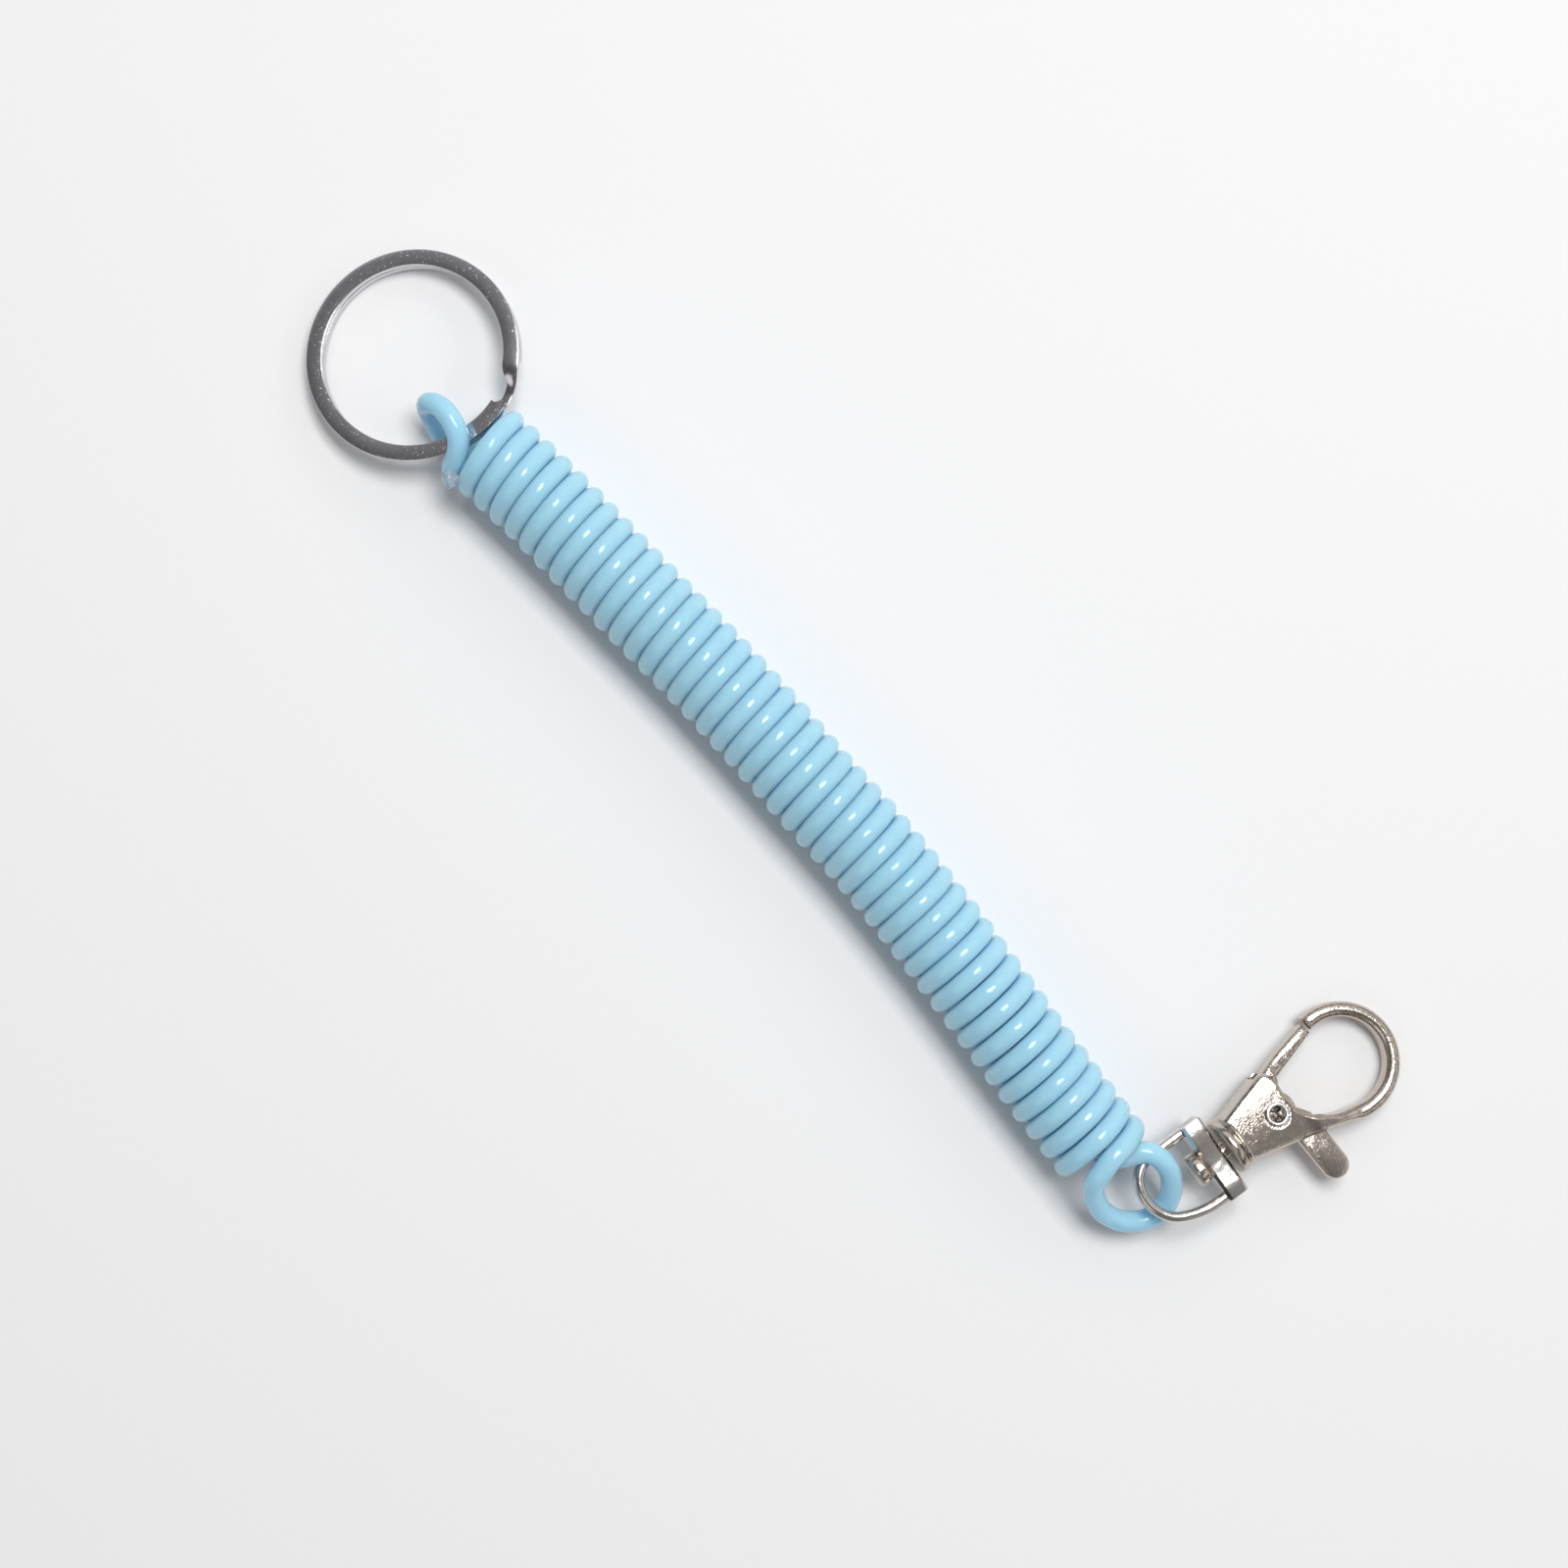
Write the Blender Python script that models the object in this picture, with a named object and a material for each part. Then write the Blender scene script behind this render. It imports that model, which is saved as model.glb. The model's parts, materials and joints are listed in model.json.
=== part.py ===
"""Coil keychain: a moulded coil cord with a split ring at one end and a swivel snap hook at the other.

Metres, +Z up. The keychain lies on a flat surface at Z = 0. X runs from the ring to the hook, and the
origin is the middle of the coil's underside. Run it with Blender, from the command line or its text editor.
"""

import math

import bmesh
import bpy
import numpy as np
from mathutils import Matrix, Vector

# Cord
CORD_DIAMETER = 0.0025
CORD_GAP = 0.0003
COIL_SIDES = 6
COIL_FLAT_SHARE = 0.1

# Coil
COIL_RADIUS = 0.005675
COIL_LENGTH = 0.1311
COIL_TURN_GAP = 0.00054
COIL_POINTS_PER_TURN = 10
COIL_BOW = 0.0048
PITCH_SHARES = (
    (0.0, 0.992), (0.12, 0.992), (0.25, 0.966), (0.4, 0.981), (0.55, 0.998), (0.62, 0.988), (0.72, 1.0),
    (0.78, 1.04), (0.86, 1.05), (0.92, 1.02), (1.0, 1.09),
)
BOW_SHARES = (
    (-1.03, -0.48), (-0.85, -0.27), (-0.68, -0.18), (-0.51, -0.08), (-0.34, 0.03), (-0.16, 0.05),
    (0.02, 0.0), (0.2, -0.02), (0.4, -0.19), (0.57, -0.41), (0.74, -0.66), (0.9, -0.86), (1.07, -1.03),
)

# Tied ends of the cord: route points from the coil's end, chosen by hand from the way the cord lies
LOOP_STEPS = 3
RING_LOOP_OFFSETS = (
    (-0.00165, -0.0039, 0.00132), (-0.0028, -0.00475, 0.0015), (-0.00465, -0.0051, 0.0022),
    (-0.00675, -0.00485, 0.0032), (-0.00875, -0.0043, 0.0046), (-0.00995, -0.0037, 0.0064),
    (-0.0101, -0.003, 0.0084), (-0.00895, -0.00225, 0.0102), (-0.00695, -0.002, 0.0112),
    (-0.00465, -0.0025, 0.0114), (-0.00275, -0.0036, 0.0108), (-0.0016, -0.0052, 0.0096),
    (-0.00105, -0.0068, 0.0082), (-0.00085, -0.0079, 0.0069),
)
CLASP_LOOP_OFFSETS = (
    (0.0019, -0.0061, 0.0122), (0.0023, -0.0071, 0.012), (0.0027, -0.0082, 0.0111),
    (0.0034, -0.00915, 0.0095), (0.0048, -0.01, 0.0077), (0.0067, -0.0105, 0.0062),
    (0.00865, -0.0103, 0.0051), (0.01035, -0.00935, 0.00445), (0.0119, -0.0078, 0.00405),
    (0.0129, -0.006, 0.0039), (0.01325, -0.0044, 0.004), (0.0128, -0.0028, 0.0046),
    (0.01155, -0.0012, 0.0058), (0.01015, 0.0, 0.0073), (0.00855, 0.001, 0.0088),
    (0.0069, 0.0014, 0.0098), (0.0054, 0.0008, 0.01015), (0.00455, -0.0008, 0.0101),
    (0.0036, -0.0026, 0.00965), (0.00225, -0.00415, 0.0092), (0.00055, -0.0051, 0.0089),
)

# Adhesive beads at the two cut ends
BEAD_GAP = 0.0001
RING_BEAD_RADIUS = 0.0008
CLASP_BEAD_RADIUS = 0.0009
CLASP_BEAD_HEIGHT = 0.0028
BEAD_SEGMENTS = 12

# Split ring
RING_OUTER_DIAMETER = 0.0308
RING_WIRE_WIDTH = 0.0023
RING_WIRE_HEIGHT = 0.0011
RING_LEAF_GAP = 0.0001
RING_CHAMFER = 0.00022
RING_TILT = math.radians(10.0)
RING_HEADING = math.radians(0.7)
RING_CENTRE_OFFSET = -0.0169
RING_CENTRE_Y = -0.00034
RING_PIVOT_ANGLE = math.radians(-17.0)
RING_STEP_ANGLE = math.radians(46.0)
RING_STEP_SPREAD = math.radians(26.0)
RING_STEPS_PER_TURN = 48
RING_END_GAP = 0.0003

# Snap hook: where it lies. Its own X runs along it, away from the bail, and its origin is at the rivet
HOOK_OFFSET = 0.01315
HOOK_Y = 0.0165
HOOK_HEADING = math.radians(82.6)
HOOK_TILT = math.radians(8.5)

# Hook casting
HOOK_CENTRE = 0.0125
HOOK_OUTER_RADIUS = 0.0081
HOOK_BAR_WIDTH = 0.00165
HOOK_BAR_DEPTH = 0.0035
HOOK_BAR_ROUNDING = 0.0005
HOOK_NOSE_ANGLE = math.radians(99.0)
HOOK_HEEL_ANGLE = math.radians(-101.5)
CHEEK_DEPTH = 0.0060
CHEEK_ROUNDING = 0.00035
CHEEK_UPPER_SHARES = ((-0.36, 0.47), (0.0, 0.605), (0.11, 0.655), (0.17, 0.64), (0.22, 0.57), (0.245, 0.44))
CHEEK_EYE_SHARES = (
    (0.248, 0.11), (0.256, -0.11), (0.296, -0.27), (0.384, -0.457), (0.48, -0.574), (0.6, -0.655),
)
CHEEK_BACK_HIGH_SHARE = 0.385
TAPER_START = 0.0042
TAPER_END = 0.0105
SLOT_DEPTH = 0.0033
SLOT_BACK = 0.0046
SLOT_FRONT = 0.0059
COLLAR_FRONT = 0.00625
COLLAR_THICKNESS = 0.00225
COLLAR_RADIUS = 0.00435
COLLAR_ROUNDING = 0.00035
COLLAR_TUCK = 0.00055
NECK_RADIUS = 0.0030
NECK_LENGTH = 0.0007
STEM_RADIUS = 0.0012
STEM_HEAD_RADIUS = 0.0025
STEM_HEAD_THICKNESS = 0.0019
STEM_HEAD_ROUNDING = 0.0003

# Swivel bail
FIT_GAP = 0.00025
BAIL_BAR_WIDTH = 0.0034
BAIL_BAR_DEPTH = 0.0036
BAIL_BAR_CHAMFER = 0.0008
BAIL_WIRE_WIDTH = 0.0015
BAIL_WIRE_DEPTH = 0.0019
BAIL_WIRE_ROUNDING = 0.0004
BAIL_HALF_WIDTH = 0.00545
BAIL_REACH = 0.0115
BAIL_CURVE_SHARES = (
    (0.22, -1.0), (0.37, -0.985), (0.6, -0.87), (0.82, -0.64), (0.95, -0.28), (1.0, 0.2), (0.93, 0.68),
    (0.76, 0.95), (0.5, 1.0), (0.22, 1.0),
)
BAIL_STEPS = 4

# Gate lever
GATE_DEPTH = 0.0027
GATE_ROUNDING = 0.0003
HUB_RADIUS = 0.0033
GATE_ARM_SHARES = (
    (0.85, 0.85), (0.81, 1.02), (0.262, 0.735), (0.08, 0.64), (-0.085, 0.44), (0.0, 0.0), (0.24, 0.13),
    (0.31, 0.5),
)
GATE_TIP_X = 0.0130
GATE_TIP_Y = 0.0072
LEVER_WIDTH = 0.0040
LEVER_REACH = 0.0132
LEVER_OFFSET = 0.0030
LEVER_LEAN = math.radians(3.5)
LEVER_ROUNDING = 0.0004

# Gate rivet
RIVET_RADIUS = 0.00145
RIVET_SEAT_GAP = 0.0001
RIVET_HEAD_RADIUS = 0.0020
RIVET_LIP_RADIUS = 0.00178
RIVET_HOLLOW_RADIUS = 0.00108
RIVET_HOLLOW_DEPTH = 0.0032
RIVET_LIP_HEIGHT = 0.00055
RIVET_HEAD_HEIGHT = 0.00045
RECESS_RADIUS = 0.0022
RECESS_DEPTH = 0.0005

# Gate spring, in a pocket on the hub
SPRING_WIRE_DIAMETER = 0.0004
SPRING_RADIUS = 0.0021
SPRING_PITCH = 0.00085
SPRING_TURNS = 1.25
SPRING_POINTS_PER_TURN = 12
SPRING_POCKET_GAP = 0.00045
SPRING_FLOOR = 0.00040
SPRING_FLOOR_GAP = 0.00015
SPRING_LEG = 0.0037
SPRING_LEG_GAP = 0.0002

# Facets and cuts
ROUND_SEGMENTS = 32
ARC_STEP = math.radians(9.0)
OVERRUN = 0.0020
WELD_DISTANCE = 0.000003
SMOOTH_ANGLE = math.radians(35.0)

COLOURS = {
    "blue_cord": ((0.30, 0.62, 0.86, 1.0), 0.28, 0.0),
    "clear_adhesive": ((0.80, 0.86, 0.90, 1.0), 0.10, 0.0),
    "ring_steel": ((0.42, 0.42, 0.43, 1.0), 0.16, 1.0),
    "hook_nickel": ((0.56, 0.54, 0.52, 1.0), 0.22, 1.0),
    "rivet_steel": ((0.66, 0.66, 0.66, 1.0), 0.20, 1.0),
    "spring_steel": ((0.50, 0.50, 0.50, 1.0), 0.30, 1.0),
}


def clear_scene():
    for obj in list(bpy.data.objects):
        bpy.data.objects.remove(obj, do_unlink=True)


def make_material(name):
    colour, roughness, metallic = COLOURS[name]
    material = bpy.data.materials.new(name)
    material.use_nodes = True
    shader = material.node_tree.nodes["Principled BSDF"]
    shader.inputs["Base Color"].default_value = colour
    shader.inputs["Roughness"].default_value = roughness
    shader.inputs["Metallic"].default_value = metallic
    return material


def add_object(name, data, parent=None, material=None):
    obj = bpy.data.objects.new(name, data)
    bpy.context.scene.collection.objects.link(obj)
    obj.parent = parent
    if material:
        data.materials.append(material)
    return obj


def add_empty(name, matrix, parent=None):
    empty = add_object(name, None, parent)
    empty.matrix_local = matrix
    empty.empty_display_size = CORD_DIAMETER
    return empty


def mesh_from(name, bm):
    bmesh.ops.recalc_face_normals(bm, faces=bm.faces)
    mesh = bpy.data.meshes.new(name)
    bm.to_mesh(mesh)
    bm.free()
    mesh.shade_smooth()
    mesh.set_sharp_from_angle(angle=SMOOTH_ANGLE)
    return mesh


def hide_as_helper(obj):
    obj.hide_render = True
    obj.display_type = "WIRE"
    return obj


def add_bevel(obj, width, segments=2):
    bevel = obj.modifiers.new("rounding", "BEVEL")
    bevel.width = width
    bevel.segments = segments
    bevel.limit_method = "ANGLE"
    bevel.angle_limit = SMOOTH_ANGLE
    return obj


def combine(obj, helper, operation):
    boolean = obj.modifiers.new(helper.name, "BOOLEAN")
    boolean.operation = operation
    boolean.solver = "EXACT"
    boolean.object = hide_as_helper(helper)
    return obj


def join(obj, helper):
    return combine(obj, helper, "UNION")


def cut(obj, helper):
    return combine(obj, helper, "DIFFERENCE")


def smooth_curve(points, steps):
    """Points of a smooth curve through the given points, with the ends kept straight."""
    points = [Vector(point) for point in points]
    padded = [2 * points[0] - points[1], *points, 2 * points[-1] - points[-2]]
    result = []
    for before, start, end, after in zip(padded, padded[1:], padded[2:], padded[3:]):
        for step in range(steps):
            t = step / steps
            near = (end - before) * (t - 2 * t**2 + t**3) / 2
            far = (after - start) * (t**3 - t**2) / 2
            blend = 3 * t**2 - 2 * t**3
            result.append(start.lerp(end, blend) + near + far)
    return [*result, points[-1]]


def arc(centre, radius, start, end):
    steps = max(2, math.ceil(abs(end - start) / ARC_STEP))
    angles = [start + (end - start) * step / steps for step in range(steps + 1)]
    return [(centre[0] + radius * math.cos(a), centre[1] + radius * math.sin(a)) for a in angles]


def prism(name, outline, low, high, parent=None, material=None):
    """A flat outline raised from one height to another."""
    bm = bmesh.new()
    base = bm.faces.new([bm.verts.new((x, y, low)) for x, y in outline])
    raised = bmesh.ops.extrude_face_region(bm, geom=[base])
    top = [item for item in raised["geom"] if isinstance(item, bmesh.types.BMVert)]
    bmesh.ops.translate(bm, verts=top, vec=(0, 0, high - low))
    return add_object(name, mesh_from(name, bm), parent, material)


def turned(name, profile, axis, parent=None, material=None, segments=ROUND_SEGMENTS):
    """A profile of (distance along the axis, radius) pairs, turned about local X or Z."""
    bm = bmesh.new()
    place = (lambda d, r: (d, 0, r)) if axis == "X" else (lambda d, r: (r, 0, d))
    verts = [bm.verts.new(place(d, r)) for d, r in profile]
    edges = [bm.edges.new(pair) for pair in zip(verts, verts[1:])]
    about = (1, 0, 0) if axis == "X" else (0, 0, 1)
    bmesh.ops.spin(bm, geom=verts + edges, cent=(0, 0, 0), axis=about, angle=math.tau, steps=segments)
    bmesh.ops.remove_doubles(bm, verts=bm.verts, dist=WELD_DISTANCE)
    return add_object(name, mesh_from(name, bm), parent, material)


def box(name, low, high, parent=None):
    outline = [(low[0], low[1]), (high[0], low[1]), (high[0], high[1]), (low[0], high[1])]
    return prism(name, outline, low[2], high[2], parent)


def widen(points, width):
    """The closed outline of a strip of even width along a flat line of points."""
    sides = ([], [])
    for index, point in enumerate(points):
        ahead = points[min(index + 1, len(points) - 1)]
        behind = points[max(index - 1, 0)]
        along = (ahead - behind).normalized()
        across = Vector((-along.y, along.x, 0)) * width / 2
        sides[0].append((point + across).to_2d())
        sides[1].append((point - across).to_2d())
    return [tuple(p) for p in sides[0] + sides[1][::-1]]


def add_tube_curve(name, points, diameter, resolution, parent, material):
    curve = bpy.data.curves.new(name, "CURVE")
    curve.dimensions = "3D"
    curve.bevel_depth = diameter / 2
    curve.bevel_resolution = resolution
    curve.use_fill_caps = True
    spline = curve.splines.new("POLY")
    spline.points.add(len(points) - 1)
    for spot, point in zip(spline.points, points):
        spot.co = (*point, 1.0)
    spline.use_smooth = True
    return add_object(name, curve, parent, material)


def coil_turns():
    """An odd number, so that the middle turn's underside is at the origin."""
    pairs = (COIL_LENGTH / (CORD_DIAMETER + COIL_TURN_GAP) - 1) / 2
    return 2 * round(pairs) + 1


def from_coil_end(side, offsets):
    """Points given from the coil's end at the ring, side -1, or at the hook, side 1."""
    return [Vector((side * COIL_LENGTH / 2, 0, 0)) + Vector(offset) for offset in offsets]


def ring_loop_route():
    return from_coil_end(-1, RING_LOOP_OFFSETS)


def clasp_loop_route():
    return from_coil_end(1, CLASP_LOOP_OFFSETS)


def pitch_positions():
    """How far along the coil each step of the helix lies, from its first crown."""
    shares = np.array(PITCH_SHARES)
    steps = np.arange(coil_turns() * COIL_POINTS_PER_TURN + 1)
    rates = np.interp(steps / steps[-1], shares[:, 0], shares[:, 1])
    travelled = np.concatenate([[0], np.cumsum((rates[1:] + rates[:-1]) / 2)])
    return travelled / travelled[-1] * COIL_LENGTH


def bow_curve():
    half = COIL_LENGTH / 2
    return smooth_curve([(x * half, y * COIL_BOW, 0) for x, y in BOW_SHARES], COIL_POINTS_PER_TURN)


def coil_height():
    return COIL_RADIUS + CORD_DIAMETER / 2 - COIL_FLAT_SHARE * CORD_DIAMETER


def helix():
    """The wound part of the cord: its centre points, and at each the direction away from the coil's axis."""
    along = pitch_positions()
    middle = np.interp(coil_turns() / 2 * COIL_POINTS_PER_TURN, np.arange(len(along)), along)
    line = np.array([point[:2] for point in bow_curve()])
    reach = COIL_LENGTH / coil_turns() / 2
    lead = COIL_POINTS_PER_TURN // 2
    points, outwards = [], []
    for step in range(-lead, len(along)):
        x = along[step] - middle if step >= 0 else -middle + step * (along[1] - along[0])
        behind, y, ahead = np.interp((x - reach, x, x + reach), line[:, 0], line[:, 1])
        across = Vector((behind - ahead, 2 * reach, 0)).normalized()
        turn = math.pi / 2 + math.tau * step / COIL_POINTS_PER_TURN
        outward = across * math.cos(turn) + Vector((0, 0, math.sin(turn)))
        points.append(Vector((x, y, coil_height())) + outward * COIL_RADIUS)
        outwards.append(outward)
    return points, outwards


def coil_path():
    """The helix with a straight run at each end, aimed at the loop that carries the cord on."""
    points, outwards = helix()
    ends = []
    for near, start in ((points[0], ring_loop_route()[0]), (points[-1], clasp_loop_route()[0])):
        ends.append(start - (start - near).normalized() * CORD_GAP)
    return [ends[0], *points, ends[1]], [outwards[0], *outwards, outwards[-1]]


def least_coil_gap(points):
    spots = np.array([tuple(point) for point in points])
    span = COIL_POINTS_PER_TURN // 2
    least = COIL_LENGTH
    for shift in range(span, 2 * COIL_POINTS_PER_TURN):
        least = min(least, np.linalg.norm(spots[shift:] - spots[:-shift], axis=1).min())
    return least - CORD_DIAMETER


def build_coil(material):
    points, outwards = coil_path()
    bm = bmesh.new()
    rings = []
    for index, (point, outward) in enumerate(zip(points, outwards)):
        ahead = points[min(index + 1, len(points) - 1)]
        behind = points[max(index - 1, 0)]
        along = (ahead - behind).normalized()
        normal = (outward - along * outward.dot(along)).normalized()
        binormal = along.cross(normal)
        ring = []
        for side in range(COIL_SIDES):
            angle = math.tau * side / COIL_SIDES
            offset = normal * math.cos(angle) + binormal * math.sin(angle)
            ring.append(bm.verts.new(point + offset * CORD_DIAMETER / 2))
        rings.append(ring)
    for ring, following in zip(rings, rings[1:]):
        for side in range(COIL_SIDES):
            other = (side + 1) % COIL_SIDES
            bm.faces.new((ring[side], ring[other], following[other], following[side]))
    bm.faces.new(rings[0])
    bm.faces.new(rings[-1])
    coil = add_object("coil", mesh_from("coil", bm), None, material)
    reach = COIL_LENGTH / 2 + COIL_RADIUS + CORD_DIAMETER
    depth = CORD_DIAMETER + OVERRUN
    side = COIL_RADIUS + COIL_BOW + CORD_DIAMETER + OVERRUN
    cut(coil, box("coil_flat_cutter", (-reach, -side, -depth), (reach, side, 0)))
    print(f"least gap of the coil to itself: {least_coil_gap(points) * 1000:.2f} mm")
    return coil


def build_loops(material, clasp_end):
    for name, route, parent in (
        ("ring_end_loop", ring_loop_route(), None),
        ("clasp_end_loop", clasp_loop_route(), clasp_end),
    ):
        add_tube_curve(name, smooth_curve(route, LOOP_STEPS), CORD_DIAMETER, 2, parent, material)


def build_bead(name, centre, radius, height, parent, material):
    bm = bmesh.new()
    bmesh.ops.create_uvsphere(bm, u_segments=BEAD_SEGMENTS, v_segments=BEAD_SEGMENTS // 2, radius=radius)
    bmesh.ops.scale(bm, verts=bm.verts, vec=(1, 1, height / (2 * radius)))
    bmesh.ops.translate(bm, verts=bm.verts, vec=centre)
    return add_object(name, mesh_from(name, bm), parent, material)


def build_beads(material, clasp_end):
    """One bead lies in the valley between the first turn and the cut end, the other inside the coil."""
    points, _ = helix()
    before, end = ring_loop_route()[-2:]
    nearest = min(points[: 2 * COIL_POINTS_PER_TURN], key=lambda point: (point - end).length)
    apart = (nearest - end).length / 2
    reach = CORD_DIAMETER / 2 + RING_BEAD_RADIUS + BEAD_GAP
    outward = (nearest - end).cross(end - before).normalized()
    outward *= -1 if outward.y > 0 else 1
    centre = (nearest + end) / 2 + outward * math.sqrt(max(reach**2 - apart**2, 0))
    build_bead("ring_end_glue_bead", centre, RING_BEAD_RADIUS, 2 * RING_BEAD_RADIUS, None, material)
    before, end = clasp_loop_route()[-2:]
    centre = end + (end - before).normalized() * (CLASP_BEAD_RADIUS + BEAD_GAP)
    build_bead("clasp_end_glue_bead", centre, CLASP_BEAD_RADIUS, CLASP_BEAD_HEIGHT, clasp_end, material)


def ring_radius():
    return (RING_OUTER_DIAMETER - RING_WIRE_WIDTH) / 2


def ring_height():
    return 2 * RING_WIRE_HEIGHT + RING_LEAF_GAP


def ring_pivot_matrix():
    """The ring turns about its wire where the cord holds it, and its far side rests on the surface."""
    rise = RING_OUTER_DIAMETER / 2 * math.sin(RING_TILT)
    height = rise + ring_height() / 2 * math.cos(RING_TILT)
    place = Matrix.Translation(from_coil_end(-1, [(RING_CENTRE_OFFSET, RING_CENTRE_Y, height)])[0])
    place @= Matrix.Rotation(RING_HEADING, 4, "Z") @ Matrix.Rotation(-RING_TILT, 4, "Y")
    return place @ Matrix.Rotation(RING_PIVOT_ANGLE, 4, "Z") @ Matrix.Translation((ring_radius(), 0, 0))


def ring_profile():
    """The wire's section: (out from the ring's axis, up), with its long edges taken off."""
    width, height = RING_WIRE_WIDTH / 2, RING_WIRE_HEIGHT / 2
    inner_width, inner_height = width - RING_CHAMFER, height - RING_CHAMFER
    return [
        (width, -inner_height), (width, inner_height), (inner_width, height), (-inner_width, height),
        (-width, inner_height), (-width, -inner_height), (-inner_width, -height), (inner_width, -height),
    ]


def build_split_ring(pivot, material):
    """One flat wire in two turns: level, then over the step that lets the second turn lie on the first."""
    climb = RING_WIRE_HEIGHT + RING_LEAF_GAP
    start = RING_STEP_ANGLE + RING_STEP_SPREAD / 2
    end_gap = RING_END_GAP / ring_radius()
    sweep = 2 * math.tau - RING_STEP_SPREAD - 2 * end_gap
    steps = 2 * RING_STEPS_PER_TURN
    bm = bmesh.new()
    rings = []
    for step in range(steps + 1):
        travelled = end_gap + sweep * step / steps
        share = (travelled - (math.tau - RING_STEP_SPREAD)) / RING_STEP_SPREAD
        share = min(max(share, 0), 1)
        level = climb * (share**2 * (3 - 2 * share) - 1 / 2)
        angle = start + travelled
        out = Vector((math.cos(angle), math.sin(angle), 0))
        centre = out * ring_radius() + Vector((-ring_radius(), 0, level))
        rings.append([bm.verts.new(centre + out * r + Vector((0, 0, z))) for r, z in ring_profile()])
    for ring, following in zip(rings, rings[1:]):
        for side in range(len(ring)):
            other = (side + 1) % len(ring)
            bm.faces.new((ring[side], ring[other], following[other], following[side]))
    bm.faces.new(rings[0])
    bm.faces.new(rings[-1])
    return add_object("split_ring", mesh_from("split_ring", bm), pivot, material)


def crossbar_x():
    """From the rivet to the middle of the bail's crossbar."""
    return -(COLLAR_FRONT + COLLAR_THICKNESS + FIT_GAP + BAIL_BAR_WIDTH / 2)


def bail_apex_x():
    """From the rivet to the middle of the bail's wire at its far end."""
    return crossbar_x() - BAIL_REACH


def hook_matrix():
    """The bail's end is held up by the cord, and the far end of the bar rests on the surface."""
    reach = HOOK_CENTRE + HOOK_OUTER_RADIUS - HOOK_BAR_ROUNDING
    depth = HOOK_BAR_DEPTH / 2 - HOOK_BAR_ROUNDING
    height = reach * math.sin(HOOK_TILT) + depth * math.cos(HOOK_TILT) + HOOK_BAR_ROUNDING
    place = Matrix.Translation(from_coil_end(1, [(HOOK_OFFSET, HOOK_Y, height)])[0])
    return place @ Matrix.Rotation(HOOK_HEADING, 4, "Z") @ Matrix.Rotation(HOOK_TILT, 4, "Y")


def build_swivel_bail(pivot, material):
    """A crossbar with the swivel bore, and a bent wire cast in one with it, drawn from the wire's far end."""
    curve = [(BAIL_REACH * (1 - x), y * BAIL_HALF_WIDTH, 0) for x, y in BAIL_CURVE_SHARES]
    ends = [(BAIL_REACH + BAIL_BAR_WIDTH / 4, side * BAIL_HALF_WIDTH, 0) for side in (-1, 1)]
    outline = widen(smooth_curve([ends[0], *curve, ends[1]], BAIL_STEPS), BAIL_WIRE_WIDTH)
    wire_half = BAIL_WIRE_DEPTH / 2
    bail = prism("swivel_bail", outline, -wire_half, wire_half, pivot, material)
    add_bevel(bail, BAIL_WIRE_ROUNDING)
    half = BAIL_HALF_WIDTH + BAIL_WIRE_WIDTH / 2
    low = (BAIL_REACH - BAIL_BAR_WIDTH / 2, -half, -BAIL_BAR_DEPTH / 2)
    high = (BAIL_REACH + BAIL_BAR_WIDTH / 2, half, BAIL_BAR_DEPTH / 2)
    join(bail, add_bevel(box("bail_crossbar", low, high, pivot), BAIL_BAR_CHAMFER, 1))
    bore = STEM_RADIUS + FIT_GAP
    start, end = low[0] - OVERRUN, high[0] + OVERRUN
    cut(bail, turned("bail_bore", [(start, 0), (start, bore), (end, bore), (end, 0)], "X", pivot))
    return bail


def hook_bar_outline():
    """The bent bar: an arc round the eye, then a straight run back to the rivet."""
    centre = (HOOK_CENTRE, 0)
    inner = HOOK_OUTER_RADIUS - HOOK_BAR_WIDTH
    outer_arc = arc(centre, HOOK_OUTER_RADIUS, HOOK_NOSE_ANGLE, HOOK_HEEL_ANGLE)
    inner_arc = arc(centre, inner, HOOK_HEEL_ANGLE, HOOK_NOSE_ANGLE)
    run = HOOK_CENTRE - SLOT_BACK / 2
    back = Vector((math.sin(HOOK_HEEL_ANGLE), -math.cos(HOOK_HEEL_ANGLE))) * run
    outer_end = (outer_arc[-1][0] + back.x, outer_arc[-1][1] + back.y)
    inner_end = (inner_arc[0][0] + back.x, inner_arc[0][1] + back.y)
    return [*outer_arc, outer_end, inner_end, *inner_arc]


def cheek_outline():
    """Both cheeks from above: the back edge at the collar, the shoulder by the gate, then round the eye."""
    back = -(COLLAR_FRONT + COLLAR_TUCK)
    heel = HOOK_OUTER_RADIUS
    heel_point = (HOOK_CENTRE + heel * math.cos(HOOK_HEEL_ANGLE), heel * math.sin(HOOK_HEEL_ANGLE))
    slope = -math.cos(HOOK_HEEL_ANGLE) / math.sin(HOOK_HEEL_ANGLE)
    low_back = (back, heel_point[1] + (back - heel_point[0]) * slope)
    inner = heel - HOOK_BAR_WIDTH
    seat = (HOOK_CENTRE + inner * math.cos(HOOK_HEEL_ANGLE), inner * math.sin(HOOK_HEEL_ANGLE))
    shares = CHEEK_UPPER_SHARES + CHEEK_EYE_SHARES
    edge = [(x * HOOK_CENTRE, y * HOOK_OUTER_RADIUS) for x, y in shares]
    return [low_back, heel_point, seat, *edge[::-1], (back, CHEEK_BACK_HIGH_SHARE * HOOK_OUTER_RADIUS)]


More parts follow.
